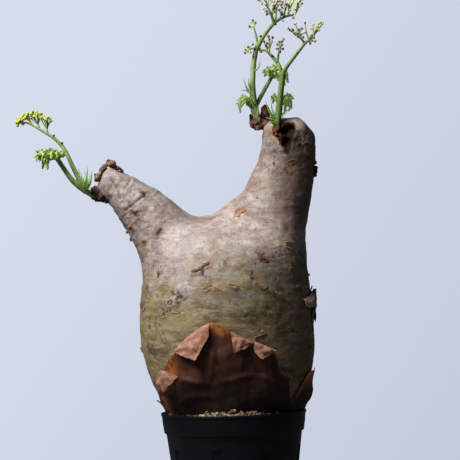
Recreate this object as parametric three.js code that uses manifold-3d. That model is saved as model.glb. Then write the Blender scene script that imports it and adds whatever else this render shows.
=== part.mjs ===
// A potted Cyphostemma uter: a swollen, bottle-shaped caudex with two blunt arms, papery bark
// torn round its foot, young shoots with flower sprays on both arms, and a black slit pot.
// Millimetres, +Z up, front towards -Y, origin at the centre of the pot's flat base.
import * as THREE from "three";
import { mergeVertices } from "three/addons/utils/BufferGeometryUtils.js";
import Module from "manifold-3d";

const wasm = await Module();
wasm.setup();

// Driving dimensions of the pot
const POT_HEIGHT = 100;
const POT_BASE_RADIUS = 45.5;
const POT_BODY_TOP_RADIUS = 56;
const RIM_BAND_BOTTOM = 83.5;
const RIM_BAND_RADIUS = 57.7;
const RIM_RADIUS = 60;
const POT_WALL = 1.5;
const POT_FLOOR = 2.6;
const FLUTES = 8;
const FLUTE_DEPTH = 2;
const FLUTE_TOP = 73;
const FIRST_FLUTE_DEG = -14.7;
const SLIT_WIDTH = 3;
const SLIT_TOP = 34;
const SLIT_REACH = 22;
const FLUTE_RUNOUT = 4;
const RIM_STEP = 0.4;
const RIM_BEVEL = 0.8;

// Clearance kept wherever two solids meet
const GAP = 0.35;
const LOOSE_GAP = 1;
const SOIL_GAP = 1.3;
const SOCKET_PLAY = 0.6;

// Driving dimensions of the plant
const BODY_DEPTH_SHARE = 0.86;
const LIMB_BLEND = 16;
const ROOT_BLEND = 8;
const TIP_BLEND = 5;
const CUT_BLEND = 4;
const CAUDEX_CELL = 10;
const BARK_SHEET = 0.9;
const SHEET_STANDOFF = 1.2;
const SOIL_EDGE = 97;
const SOIL_WALL_RADIUS = 57.6;
const GRAIN_COUNT = 26;
const SOIL_HEAP = 5.5;
const SOIL_CROWN = 0.8;
const SOIL_SLOPE = 11;
const GRAIN_RADII = [2, 2.9];
const GRAIN_RISE = 0.4;
const SHEET_CLEARANCE = 4.2;
const BLADE = 0.8;
const LEAF_TIP = 0.35;
const TOOTH_OUT = 1.22;
const TOOTH_IN = 0.86;
const BRACT_TIP = 0.3;
const PEDICEL_RADIUS = 0.55;
const BUD_RADIUS = 1.15;
const CYME_SPREAD = 0.45;

// Numbers from 0 to 1 that are the same on every run
function seededRandom(seed) {
  let state = seed;
  return () => {
    state = (state + 0x6d2b79f5) | 0;
    let mixed = Math.imul(state ^ (state >>> 15), 1 | state);
    mixed = (mixed + Math.imul(mixed ^ (mixed >>> 7), 61 | mixed)) ^ mixed;
    return ((mixed ^ (mixed >>> 14)) >>> 0) / 4294967296;
  };
}

const between = (random, low, high) => low + (high - low) * random();
const radians = THREE.MathUtils.degToRad;
const lerp = THREE.MathUtils.lerp;
const smoothstep = THREE.MathUtils.smoothstep;
const vector = (point) => new THREE.Vector3(...point);

// Reads a table of [position, value] rows with straight lines between the rows
function readTable(table, at) {
  if (at <= table[0][0]) return table[0][1];
  for (let i = 1; i < table.length; i += 1) {
    const [start, low] = table[i - 1];
    const [end, high] = table[i];
    if (at <= end) return lerp(low, high, (at - start) / (end - start));
  }
  return table[table.length - 1][1];
}

// A closed three.js geometry as a solid that can be joined and cut
function solidOf(geometry) {
  const bare = geometry.clone();
  bare.deleteAttribute("normal");
  bare.deleteAttribute("uv");
  const merged = mergeVertices(bare, 1e-4);
  const triangles = [];
  for (let i = 0; i < merged.index.count; i += 3) {
    const [a, b, c] = merged.index.array.slice(i, i + 3);
    if (a !== b && b !== c && c !== a) triangles.push(a, b, c);
  }
  const triVerts = new Uint32Array(triangles);
  const vertProperties = new Float32Array(merged.attributes.position.array);
  return new wasm.Manifold(new wasm.Mesh({ numProp: 3, vertProperties, triVerts }));
}

const fuse = (solids) => solids.reduce((joined, solid) => joined.add(solid));

// The largest body of a solid, so that a loose scrap left by a cut is dropped
function largestBody(solid) {
  const bodies = solid.decompose();
  return bodies.reduce((best, body) => (body.volume() > best.volume() ? body : best));
}

function meshOf(name, solid, material) {
  const made = solid.getMesh();
  const geometry = new THREE.BufferGeometry();
  geometry.setAttribute("position", new THREE.BufferAttribute(made.vertProperties, 3));
  geometry.setIndex(new THREE.BufferAttribute(made.triVerts, 1));
  geometry.computeVertexNormals();
  const mesh = new THREE.Mesh(geometry, material);
  mesh.name = name;
  return mesh;
}

// A tube that tapers along a smooth curve: a closed cylinder laid along it
function taperedTube(points, radii, sides, steps) {
  const curve = new THREE.CatmullRomCurve3(points.map(vector));
  const frames = curve.computeFrenetFrames(steps);
  const radiusRows = radii.map((radius, i) => [i / (radii.length - 1), radius]);
  const tube = new THREE.CylinderGeometry(1, 1, 1, sides, steps);
  const position = tube.getAttribute("position");
  for (let i = 0; i < position.count; i += 1) {
    const along = position.getY(i) + 0.5;
    const step = Math.round(along * steps);
    const radius = readTable(radiusRows, along);
    const place = curve
      .getPointAt(along)
      .addScaledVector(frames.normals[step], position.getX(i) * radius)
      .addScaledVector(frames.binormals[step], -position.getZ(i) * radius);
    position.setXYZ(i, place.x, place.y, place.z);
  }
  return solidOf(tube);
}

// A thin plate around a grid of points, rows by columns; a ring closes its last row to its first
function plate(grid, thickness, ring = false) {
  const rows = grid.length;
  const columns = grid[0].length;
  const row = (i) => (ring ? (i + rows) % rows : THREE.MathUtils.clamp(i, 0, rows - 1));
  const column = (j) => THREE.MathUtils.clamp(j, 0, columns - 1);
  const positions = [];
  for (const side of [0.5, -0.5]) {
    for (let i = 0; i < rows; i += 1) {
      for (let j = 0; j < columns; j += 1) {
        const along = grid[row(i + 1)][j].clone().sub(grid[row(i - 1)][j]);
        const across = grid[i][column(j + 1)].clone().sub(grid[i][column(j - 1)]);
        const normal = along.cross(across).normalize();
        positions.push(...grid[i][j].clone().addScaledVector(normal, side * thickness));
      }
    }
  }
  const index = [];
  const front = (i, j) => row(i) * columns + j;
  const back = (i, j) => rows * columns + front(i, j);
  const quad = (a, b, c, d) => index.push(a, b, c, a, c, d);
  const spans = ring ? rows : rows - 1;
  for (let i = 0; i < spans; i += 1) {
    for (let j = 0; j < columns - 1; j += 1) {
      quad(front(i, j), front(i + 1, j), front(i + 1, j + 1), front(i, j + 1));
      index.push(back(i, j), back(i + 1, j + 1), back(i + 1, j));
      index.push(back(i, j), back(i, j + 1), back(i + 1, j + 1));
    }
    quad(front(i, 0), back(i, 0), back(i + 1, 0), front(i + 1, 0));
    const last = columns - 1;
    quad(front(i, last), front(i + 1, last), back(i + 1, last), back(i, last));
  }
  for (let j = 0; j < columns - 1 && !ring; j += 1) {
    quad(front(0, j), front(0, j + 1), back(0, j + 1), back(0, j));
    const last = rows - 1;
    quad(front(last, j), back(last, j), back(last, j + 1), front(last, j + 1));
  }
  const geometry = new THREE.BufferGeometry();
  geometry.setAttribute("position", new THREE.Float32BufferAttribute(positions, 3));
  geometry.setIndex(index);
  return solidOf(geometry);
}

// Surface nets: the closed surface where a field of signed distances equals a level
function wrapField(field, level, low, high, cell) {
  const counts = [0, 1, 2].map((k) => Math.ceil((high[k] - low[k]) / cell) + 1);
  const [nx, ny, nz] = counts;
  const node = (i, j, k) => (k * ny + j) * nx + i;
  const place = (i, j, k) => [low[0] + i * cell, low[1] + j * cell, low[2] + k * cell];
  const values = new Float32Array(nx * ny * nz);
  for (let k = 0; k < nz; k += 1) {
    for (let j = 0; j < ny; j += 1) {
      for (let i = 0; i < nx; i += 1) values[node(i, j, k)] = field(...place(i, j, k)) - level;
    }
  }
  const corners = [0, 1, 2, 3, 4, 5, 6, 7].map((c) => [c & 1, (c >> 1) & 1, (c >> 2) & 1]);
  const edges = [];
  corners.forEach((a, i) => {
    corners.forEach((b, j) => {
      const apart = Math.abs(a[0] - b[0]) + Math.abs(a[1] - b[1]) + Math.abs(a[2] - b[2]);
      if (j > i && apart === 1) edges.push([i, j]);
    });
  });
  const cellVertex = new Map();
  const positions = [];
  for (let k = 0; k < nz - 1; k += 1) {
    for (let j = 0; j < ny - 1; j += 1) {
      for (let i = 0; i < nx - 1; i += 1) {
        const at = corners.map((c) => values[node(i + c[0], j + c[1], k + c[2])]);
        const sum = new THREE.Vector3();
        let crossings = 0;
        for (const [a, b] of edges) {
          if (at[a] < 0 === at[b] < 0) continue;
          const share = at[a] / (at[a] - at[b]);
          sum.add(vector(corners[a]).lerp(vector(corners[b]), share));
          crossings += 1;
        }
        if (crossings === 0) continue;
        sum.divideScalar(crossings).add(new THREE.Vector3(i, j, k)).multiplyScalar(cell);
        cellVertex.set(node(i, j, k), positions.length / 3);
        positions.push(sum.x + low[0], sum.y + low[1], sum.z + low[2]);
      }
    }
  }
  const index = [];
  const distance = (a, b) =>
    Math.hypot(...[0, 1, 2].map((c) => positions[3 * a + c] - positions[3 * b + c]));
  const face = (a, b, c, d, flip) => {
    const [p, q, r, s] = (flip ? [a, d, c, b] : [a, b, c, d]).map((n) => cellVertex.get(n));
    if (distance(p, r) < distance(q, s)) index.push(p, q, r, p, r, s);
    else index.push(q, r, s, q, s, p);
  };
  for (let k = 1; k < nz - 1; k += 1) {
    for (let j = 1; j < ny - 1; j += 1) {
      for (let i = 1; i < nx - 1; i += 1) {
        const inside = values[node(i, j, k)] < 0;
        if (inside !== values[node(i + 1, j, k)] < 0) {
          const around = [node(i, j - 1, k - 1), node(i, j, k - 1), node(i, j, k), node(i, j - 1, k)];
          face(...around, !inside);
        }
        if (inside !== values[node(i, j + 1, k)] < 0) {
          const around = [node(i - 1, j, k - 1), node(i - 1, j, k), node(i, j, k), node(i, j, k - 1)];
          face(...around, !inside);
        }
        if (inside !== values[node(i, j, k + 1)] < 0) {
          const around = [node(i - 1, j - 1, k), node(i, j - 1, k), node(i, j, k), node(i - 1, j, k)];
          face(...around, !inside);
        }
      }
    }
  }
  const geometry = new THREE.BufferGeometry();
  geometry.setAttribute("position", new THREE.Float32BufferAttribute(positions, 3));
  geometry.setIndex(index);
  return solidOf(geometry);
}

// The caudex body, read by height: the middle of its width, and half its width
const BODY_MIDDLE = [
  [60, 1],
  [103, 2],
  [136, -2.4],
  [168, -3.6],
  [223, -3.6],
];
const BODY_HALF_WIDTH = [
  [72, 37],
  [88, 47],
  [103, 55],
  [112, 60],
  [120, 63.6],
  [136, 68.2],
  [150, 70.8],
  [168, 71.8],
  [185, 71.6],
  [203, 70.4],
  [222, 67.2],
];
const BODY_FOOT = 72;
const BODY_FOOT_DROP = 24;
const BODY_SHOULDER = 222;
const BODY_SHOULDER_RISE = 38;

// Arm and root centrelines: each row is x, y, z and the radius there
const LEFT_ARM = [
  [-34, -2, 225.5, 32],
  [-49.3, -4, 241.2, 28],
  [-59.6, -5, 255.8, 24.6],
  [-70, -6, 267.5, 21.4],
  [-81, -7, 278.2, 18],
  [-91.5, -8, 286.8, 15.4],
  [-103.6, -9, 296.4, 15],
  [-116, -10, 305.5, 14.6],
];
const RIGHT_ARM = [
  [10, 0, 214, 50],
  [24.9, 1, 240, 39.5],
  [38.3, 2, 262, 30],
  [44.2, 3, 282, 28.2],
  [48.7, 3, 295, 25.5],
  [51.4, 3, 305, 24],
  [52.6, 3, 316, 23],
  [52.4, 2, 322, 21],
];
const RIGHT_SHOULDER = [
  [46, 1, 308, 17],
  [44, 0, 324, 14.4],
];
const ROOTS = [
  [[0, 0, 68, 30], [-8, -2, 48, 17], [-14, -4, 31, 11.5]],
  [[8, 2, 68, 26], [25, 7, 46, 12], [31, 10, 34, 8]],
];

// The left arm ends in an old cut, a plane across its axis
const LEFT_CUT_POINT = [-106.2, -9, 297.6];
const LEFT_CUT_NORMAL = vector([-0.79, -0.05, 0.61]).normalize();

function chainDistance(chain, x, y, z) {
  let nearest = Infinity;
  for (let i = 1; i < chain.length; i += 1) {
    const a = chain[i - 1];
    const b = chain[i];
    const d = [b[0] - a[0], b[1] - a[1], b[2] - a[2]];
    const dot = (x - a[0]) * d[0] + (y - a[1]) * d[1] + (z - a[2]) * d[2];
    const t = THREE.MathUtils.clamp(dot / (d[0] * d[0] + d[1] * d[1] + d[2] * d[2]), 0, 1);
    const away = Math.hypot(x - a[0] - t * d[0], y - a[1] - t * d[1], z - a[2] - t * d[2]);
    nearest = Math.min(nearest, away - lerp(a[3], b[3], t));
  }
  return nearest;
}

function bodyDistance(x, y, z) {
  const height = THREE.MathUtils.clamp(z, BODY_FOOT, BODY_SHOULDER);
  const half = readTable(BODY_HALF_WIDTH, height);
  const slope = (readTable(BODY_HALF_WIDTH, height + 3) - readTable(BODY_HALF_WIDTH, height - 3)) / 6;
  let beyond = 0;
  if (z > BODY_SHOULDER) beyond = ((z - BODY_SHOULDER) * half) / BODY_SHOULDER_RISE;
  if (z < BODY_FOOT) beyond = ((BODY_FOOT - z) * half) / BODY_FOOT_DROP;
  const across = x - readTable(BODY_MIDDLE, height);
  return (Math.hypot(across, y / BODY_DEPTH_SHARE, beyond) - half) / Math.hypot(1, slope);
}

// The smaller of two distances, with the corner between them filled over a blend width
function smoothMin(a, b, blend) {
  const h = Math.max(blend - Math.abs(a - b), 0) / blend;
  return Math.min(a, b) - (h * h * h * blend) / 6;
}

// Slow swellings and hollows of the bark
const LUMPS = [
  [0.045, 0.02, 0.031, 0.4],
  [-0.03, 0.052, 0.044, 2.1],
  [0.071, -0.038, -0.06, 4.4],
  [0.09, 0.085, 0.05, 1.3],
];
const LUMP_HEIGHT = 0.55;

function lumps(x, y, z) {
  let sum = 0;
  for (const [a, b, c, phase] of LUMPS) sum += Math.sin(a * x + b * y + c * z + phase);
  return sum * LUMP_HEIGHT;
}

function caudexField(x, y, z) {
  const cut = LEFT_CUT_NORMAL.dot(vector([x, y, z]).sub(vector(LEFT_CUT_POINT)));
  const leftArm = -smoothMin(-chainDistance(LEFT_ARM, x, y, z), -cut, CUT_BLEND);
  const rightTip = chainDistance(RIGHT_SHOULDER, x, y, z);
  const rightArm = smoothMin(chainDistance(RIGHT_ARM, x, y, z), rightTip, TIP_BLEND);
  let plant = smoothMin(bodyDistance(x, y, z), rightArm, LIMB_BLEND);
  plant = smoothMin(plant, leftArm, LIMB_BLEND);
  for (const root of ROOTS) {
    plant = smoothMin(plant, chainDistance(root, x, y, z), ROOT_BLEND);
  }
  return plant - lumps(x, y, z);
}

const CAUDEX_LOW = [-128, -80, 4];
const CAUDEX_HIGH = [92, 80, 356];
const wrapCaudex = (level) => wrapField(caudexField, level, CAUDEX_LOW, CAUDEX_HIGH, CAUDEX_CELL);

// Reaches from the body's middle that lie well inside and well outside it
const INSIDE_BARK = 20;
const OUTSIDE_BARK = 110;
const HALVINGS = 24;

// Where a ray out from the body's middle leaves the caudex; azimuth 0 is the front, 90 the right
function barkPoint(azimuth, height, standoff) {
  const turn = radians(azimuth);
  const out = new THREE.Vector3(Math.sin(turn), -Math.cos(turn), 0);
  const middle = readTable(BODY_MIDDLE, height);
  let near = INSIDE_BARK;
  let far = OUTSIDE_BARK;
  for (let i = 0; i < HALVINGS; i += 1) {
    const reach = (near + far) / 2;
    if (caudexField(middle + out.x * reach, out.y * reach, height) < 0) near = reach;
    else far = reach;
  }
  return new THREE.Vector3(middle, 0, height).addScaledVector(out, near + standoff);
}

// Degrees from a flute's middle to its four corners, then to two points before the next flute
const FLUTE_CORNERS = [-5.4, -2.7, 2.7, 5.4, 16.8, 28.2];

function fluteAngles() {
  const angles = [];
  for (let flute = 0; flute < FLUTES; flute += 1) {
    const middle = FIRST_FLUTE_DEG + (flute * 360) / FLUTES;
    FLUTE_CORNERS.forEach((offset, i) => {
      angles.push({ turn: radians(middle + offset), recess: i === 1 || i === 2 ? 1 : 0 });
    });
  }
  return angles;
}
const ANGLES = fluteAngles();

function potBodyRadius(z) {
  return lerp(POT_BASE_RADIUS, POT_BODY_TOP_RADIUS, z / RIM_BAND_BOTTOM);
}

// A solid made of stacked rings of points. Each ring is [height, radius, share of the flute's
// depth], and a height may be a formula of x and y.
function ringStack(rings) {
  const positions = [];
  const heightAt = (height, x, y) => (typeof height === "function" ? height(x, y) : height);
  for (const [height, radius, share] of rings) {
    for (const { turn, recess } of ANGLES) {
      const reach = radius - FLUTE_DEPTH * recess * share;
      const x = Math.sin(turn) * reach;
      const y = -Math.cos(turn) * reach;
      positions.push(x, y, heightAt(height, x, y));
    }
  }
  const sides = ANGLES.length;
  const index = [];
  for (let ring = 0; ring < rings.length - 1; ring += 1) {
    for (let i = 0; i < sides; i += 1) {
      const j = (i + 1) % sides;
      const a = ring * sides;
      const b = a + sides;
      index.push(a + i, a + j, b + j, a + i, b + j, b + i);
    }
  }
  const first = positions.length / 3;
  const [bottom, top] = [rings[0][0], rings[rings.length - 1][0]];
  positions.push(0, 0, heightAt(bottom, 0, 0), 0, 0, heightAt(top, 0, 0));
  const lastRing = (rings.length - 1) * sides;
  for (let i = 0; i < sides; i += 1) {
    const j = (i + 1) % sides;
    index.push(first, j, i, first + 1, lastRing + i, lastRing + j);
  }
  const geometry = new THREE.BufferGeometry();
  geometry.setAttribute("position", new THREE.Float32BufferAttribute(positions, 3));
  geometry.setIndex(index);
  return solidOf(geometry);
}

// The pot, from its outer base up, over the rim and down inside, with a slit in each flute
function makePot() {
  const body = potBodyRadius;
  const fluteEnd = FLUTE_TOP - FLUTE_RUNOUT;
  const rings = [
    [0, POT_BASE_RADIUS, 1],
    [fluteEnd, body(fluteEnd), 1],
    [FLUTE_TOP, body(FLUTE_TOP), 0],
    [RIM_BAND_BOTTOM, POT_BODY_TOP_RADIUS, 0],
    [RIM_BAND_BOTTOM + RIM_STEP, RIM_BAND_RADIUS, 0],
    [POT_HEIGHT - RIM_BEVEL, RIM_RADIUS, 0],
    [POT_HEIGHT, RIM_RADIUS - RIM_BEVEL / 2, 0],
    [POT_HEIGHT, RIM_RADIUS - POT_WALL, 0],
    [RIM_BAND_BOTTOM + 2 * RIM_STEP, RIM_BAND_RADIUS - POT_WALL, 0],
    [RIM_BAND_BOTTOM, POT_BODY_TOP_RADIUS - POT_WALL, 0],
    [FLUTE_TOP, body(FLUTE_TOP) - POT_WALL, 0],
    [fluteEnd, body(fluteEnd) - POT_WALL, 1],
    [POT_FLOOR, body(POT_FLOOR) - POT_WALL, 1],
  ];
  let pot = ringStack(rings);
  for (let flute = 0; flute < FLUTES; flute += 1) {
    const slit = new THREE.BoxGeometry(SLIT_WIDTH, SLIT_REACH, SLIT_TOP + POT_FLOOR);
    slit.translate(0, -POT_BASE_RADIUS, (SLIT_TOP - POT_FLOOR) / 2);
    slit.rotateZ(radians(FIRST_FLUTE_DEG + (flute * 360) / FLUTES));
    pot = pot.subtract(solidOf(slit));
  }
  return pot;
}

// The height of the soil: level at the wall, heaped against the front of the caudex
function soilHeight(x, y) {
  const inwards = SOIL_WALL_RADIUS - Math.hypot(x, y);
  const atFront = smoothstep(-y, 30, 50) * smoothstep(48 - Math.abs(x), 0, 30);
  const rise = smoothstep(inwards, 0, SOIL_SLOPE);
  return SOIL_EDGE + rise * (SOIL_CROWN + SOIL_HEAP * atFront);
}

function soilGrain(random, turn, reach) {
  const grain = new THREE.IcosahedronGeometry(between(random, ...GRAIN_RADII), 0);
  grain.scale(1, between(random, 0.75, 1.1), between(random, 0.7, 0.95));
  grain.rotateX(between(random, 0, 3));
  grain.rotateZ(between(random, 0, 6));
  const x = Math.sin(turn) * reach;
  const y = -Math.cos(turn) * reach;
  grain.translate(x, y, soilHeight(x, y) + GRAIN_RISE);
  return solidOf(grain);
}

function makeSoil(caudexHole) {
  const random = seededRandom(11);
  const inner = (z) => potBodyRadius(z) - POT_WALL - GAP;
  const rings = [
    [POT_FLOOR + GAP, inner(POT_FLOOR + GAP), 1],
    [FLUTE_TOP + 2, inner(FLUTE_TOP + 2), 1],
    [RIM_BAND_BOTTOM + 1.6, inner(RIM_BAND_BOTTOM), 0],
    [SOIL_EDGE, SOIL_WALL_RADIUS, 0],
    [soilHeight, 51, 0],
    [soilHeight, 44, 0],
    [soilHeight, 34, 0],
  ];
  const grains = [];
  for (let i = 0; i < GRAIN_COUNT; i += 1) {
    const turn = (i * 2 * Math.PI) / GRAIN_COUNT + between(random, -0.04, 0.04);
    const reach = i % 2 ? between(random, 52.6, 54.6) : between(random, 47.5, 51.5);
    grains.push(soilGrain(random, turn, reach));
  }
  return largestBody(fuse([ringStack(rings), ...grains]).subtract(caudexHole));
}

// Height of the torn upper edge of the papery bark, by azimuth round the caudex
const TORN_EDGE = [
  [-180, 128], [-166, 138], [-152, 121], [-138, 130], [-124, 114], [-110, 119], [-97, 108],
  [-85, 110], [-76, 107], [-69, 112], [-63, 122], [-57, 131], [-50, 137.5], [-46, 144],
  [-40, 149.5], [-35, 153.5], [-28, 161.5], [-20, 168.5], [-13, 175], [-6, 171], [1, 165],
  [9, 160.5], [16, 156], [19, 157], [27, 153], [34, 149], [37, 139], [42, 130], [48, 125],
  [51, 113], [57, 109], [64, 120], [71, 129], [79, 131.5], [88, 135], [100, 129], [112, 119],
  [126, 135], [140, 125], [154, 139], [168, 122],
];
const FLARE_AZIMUTH = 84;
const FLARE = 3;

// How far the sheet stands off the caudex: close at its foot and lifted at its torn edge, but
// flared at its foot on the right, and close all the way up on the left
function sheetStandoff(share, azimuth) {
  const right = smoothstep(34 - Math.abs(azimuth - FLARE_AZIMUTH), 0, 24);
  const left = smoothstep(40 - Math.abs(azimuth + FLARE_AZIMUTH), 0, 20);
  const wave = 1.8 + 0.9 * Math.sin(radians(azimuth * 5 + 40));
  const lift = wave * (1 - Math.max(0.8 * left, 1.2 * right));
  return SHEET_STANDOFF - 0.3 * left + lift * share * share + FLARE * right * (1 - share);
}

// The foot of the sheet, just above the grains that lie against it
function sheetFoot(azimuth) {
  const { x, y } = barkPoint(azimuth, POT_HEIGHT, SHEET_STANDOFF);
  return soilHeight(x, y) + SHEET_CLEARANCE;
}

function sheetPoint(azimuth, height, top) {
  const foot = sheetFoot(azimuth);
  const share = (height - foot) / (top - foot);
  return barkPoint(azimuth, height, sheetStandoff(share, azimuth));
}

// Flaps of bark folded outwards and down over the torn edge: two azimuths and a length
const FLAPS = [
  { from: -57, to: -46, length: 10, reach: 4 },
  { from: -36, to: -14, length: 15, reach: 6 },
  { from: 1, to: 16, length: 9, reach: 4.5 },
  { from: 19, to: 33, length: 9.5, reach: 4.5 },
  { from: 126, to: 138, length: 9, reach: 4 },
  { from: -166, to: -154, length: 10, reach: 4 },
];

function flap({ from, to, length, reach }) {
  const grid = [];
  for (const share of [0, 0.5, 1]) {
    const azimuth = lerp(from, to, share);
    const top = readTable(TORN_EDGE, azimuth);
    const turn = radians(azimuth);
    const out = new THREE.Vector3(Math.sin(turn), -Math.cos(turn), 0);
    const edge = sheetPoint(azimuth, top, top);
    const long = length * (0.62 + 0.38 * Math.sin(Math.PI * share + 0.5));
    const section = [
      [-3, -0.1],
      [-0.3, 0.3],
      [0.5, 1.6],
      [-0.4, 2.9],
      [-0.5 * long, reach * 0.9],
      [-long, reach],
    ];
    const placed = ([up, away]) => edge.clone().setZ(edge.z + up).addScaledVector(out, away);
    grid.push(section.map(placed));
  }
  return plate(grid, BARK_SHEET);
}

function makeBarkSheet(caudexSkin) {
  const grid = TORN_EDGE.map(([azimuth, top]) =>
    [0, 0.34, 0.68, 1].map((share) => sheetPoint(azimuth, lerp(sheetFoot(azimuth), top, share), top)),
  );
  return largestBody(fuse([plate(grid, BARK_SHEET, true), ...FLAPS.map(flap)]).subtract(caudexSkin));
}

// A curl of bark that has sprung off the right side of the caudex
const CURL_AZIMUTHS = [74, 80, 87, 93];
const CURL_LIFTS = [-0.7, 0, 0.9, 2.3];
const CURL_HEIGHTS = [171, 178, 187, 195, 200];

function makeBarkCurl(caudexSkin) {
  const grid = CURL_AZIMUTHS.map((azimuth, i) =>
    CURL_HEIGHTS.map((height, j) =>
      barkPoint(azimuth + (j % 2), height, SHEET_STANDOFF + CURL_LIFTS[i]),
    ),
  );
  return largestBody(plate(grid, BARK_SHEET).subtract(caudexSkin));
}

const ROUGHNESS = 0.18;

// A rugged lump of dead tissue: a rough ball squeezed, turned about y and set in place
function deadLump({ centre, radii, tilt }, seed) {
  const random = seededRandom(seed);
  const ball = new THREE.IcosahedronGeometry(1, 1).deleteAttribute("normal").deleteAttribute("uv");
  const lump = mergeVertices(ball, 1e-4);
  const position = lump.getAttribute("position");
  for (let i = 0; i < position.count; i += 1) {
    const swell = between(random, 1 - ROUGHNESS, 1 + ROUGHNESS);
    const point = new THREE.Vector3().fromBufferAttribute(position, i).multiplyScalar(swell);
    position.setXYZ(i, ...point);
  }
  lump.scale(...radii);
  lump.rotateY(radians(tilt));
  lump.translate(...centre);
  return solidOf(lump);
}

// A leaf blade with toothed margins that bends along a curve, its two halves folded towards the
// inside of the bend. The side is the direction across the blade.
function leaflet({ points, width, side, teeth = 3, fold = 35 }) {
  const curve = new THREE.CatmullRomCurve3(points.map(vector));
  const chord = curve.getPoint(0).add(curve.getPoint(1)).multiplyScalar(0.5);
  const inwards = chord.sub(curve.getPoint(0.5));
  const grid = [];
  const steps = teeth * 2;
  for (let i = 0; i <= steps; i += 1) {
    const along = 0.02 + (0.98 * i) / steps;
    const centre = curve.getPointAt(along);
    const tangent = curve.getTangentAt(along);
    const across = vector(side).addScaledVector(tangent, -vector(side).dot(tangent)).normalize();
    const up = across.clone().cross(tangent);
    if (up.dot(inwards) < 0) up.negate();
    const outline = Math.sin(Math.PI * Math.min(0.97, 0.12 + 0.86 * along)) ** 0.8;
    const half = Math.max(LEAF_TIP, (width / 2) * outline * (i % 2 ? TOOTH_OUT : TOOTH_IN));
    const rise = up.multiplyScalar(Math.sin(radians(fold)) * half);
    const run = across.multiplyScalar(Math.cos(radians(fold)) * half);
    grid.push([centre.clone().sub(run).add(rise), centre, centre.clone().add(run).add(rise)]);
  }
  return plate(grid, BLADE);
}

// A narrow pointed bract
function bract({ points, radius }) {
  return taperedTube(points, [radius, radius * 0.75, BRACT_TIP], 3, 2);
}

// A pedicel with the bud at its end, turned from one outline
function buddedPedicel(root, direction, length, size) {
  const outline = [
    [0, 0],
    [PEDICEL_RADIUS * 1.15, 0],
    [PEDICEL_RADIUS, length - size * 1.5],
    [size, length],
    [0, length + size * 1.3],
  ];
  const pin = new THREE.LatheGeometry(outline.map(([x, y]) => new THREE.Vector2(x, y)), 3);
  const upwards = new THREE.Vector3(0, 1, 0);
  pin.applyQuaternion(new THREE.Quaternion().setFromUnitVectors(upwards, direction));
  pin.translate(...root);
  return solidOf(pin);
}

// A small cyme: budded pedicels that spread from a stretch of a stem, from one share of its
// length to another
function cyme({ from, to, towards, count, length }, curve, random) {
  const pieces = [];
  for (let i = 0; i < count; i += 1) {
    const lean = [0, 0, 0].map(() => between(random, -CYME_SPREAD, CYME_SPREAD));
    const direction = vector(towards).normalize().add(vector(lean)).normalize();
    const root = curve.getPointAt(lerp(from, to, (i + 0.5) / count));
    const reach = length * between(random, 0.8, 1.15);
    pieces.push(buddedPedicel(root, direction, reach, BUD_RADIUS * between(random, 0.9, 1.25)));
  }
  return pieces;
}

// A shoot grown as one piece: its stems, the blades and bracts on them, and the cymes of buds
// that each stem bears
function growShoot({ stems, blades, bracts, seed }, clearOf) {
  const random = seededRandom(seed);
  const pieces = [];
  for (const { points, radii, sides = 5, cymes = [] } of stems) {
    pieces.push(taperedTube(points, radii, sides, points.length + 1));
    const curve = new THREE.CatmullRomCurve3(points.map(vector));
    for (const row of cymes) pieces.push(...cyme(row, curve, random));
  }
  pieces.push(...blades.map(leaflet));
  pieces.push(...bracts.map((row) => largestBody(bract(row).subtract(clearOf))));
  return fuse(pieces);
}

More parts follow.
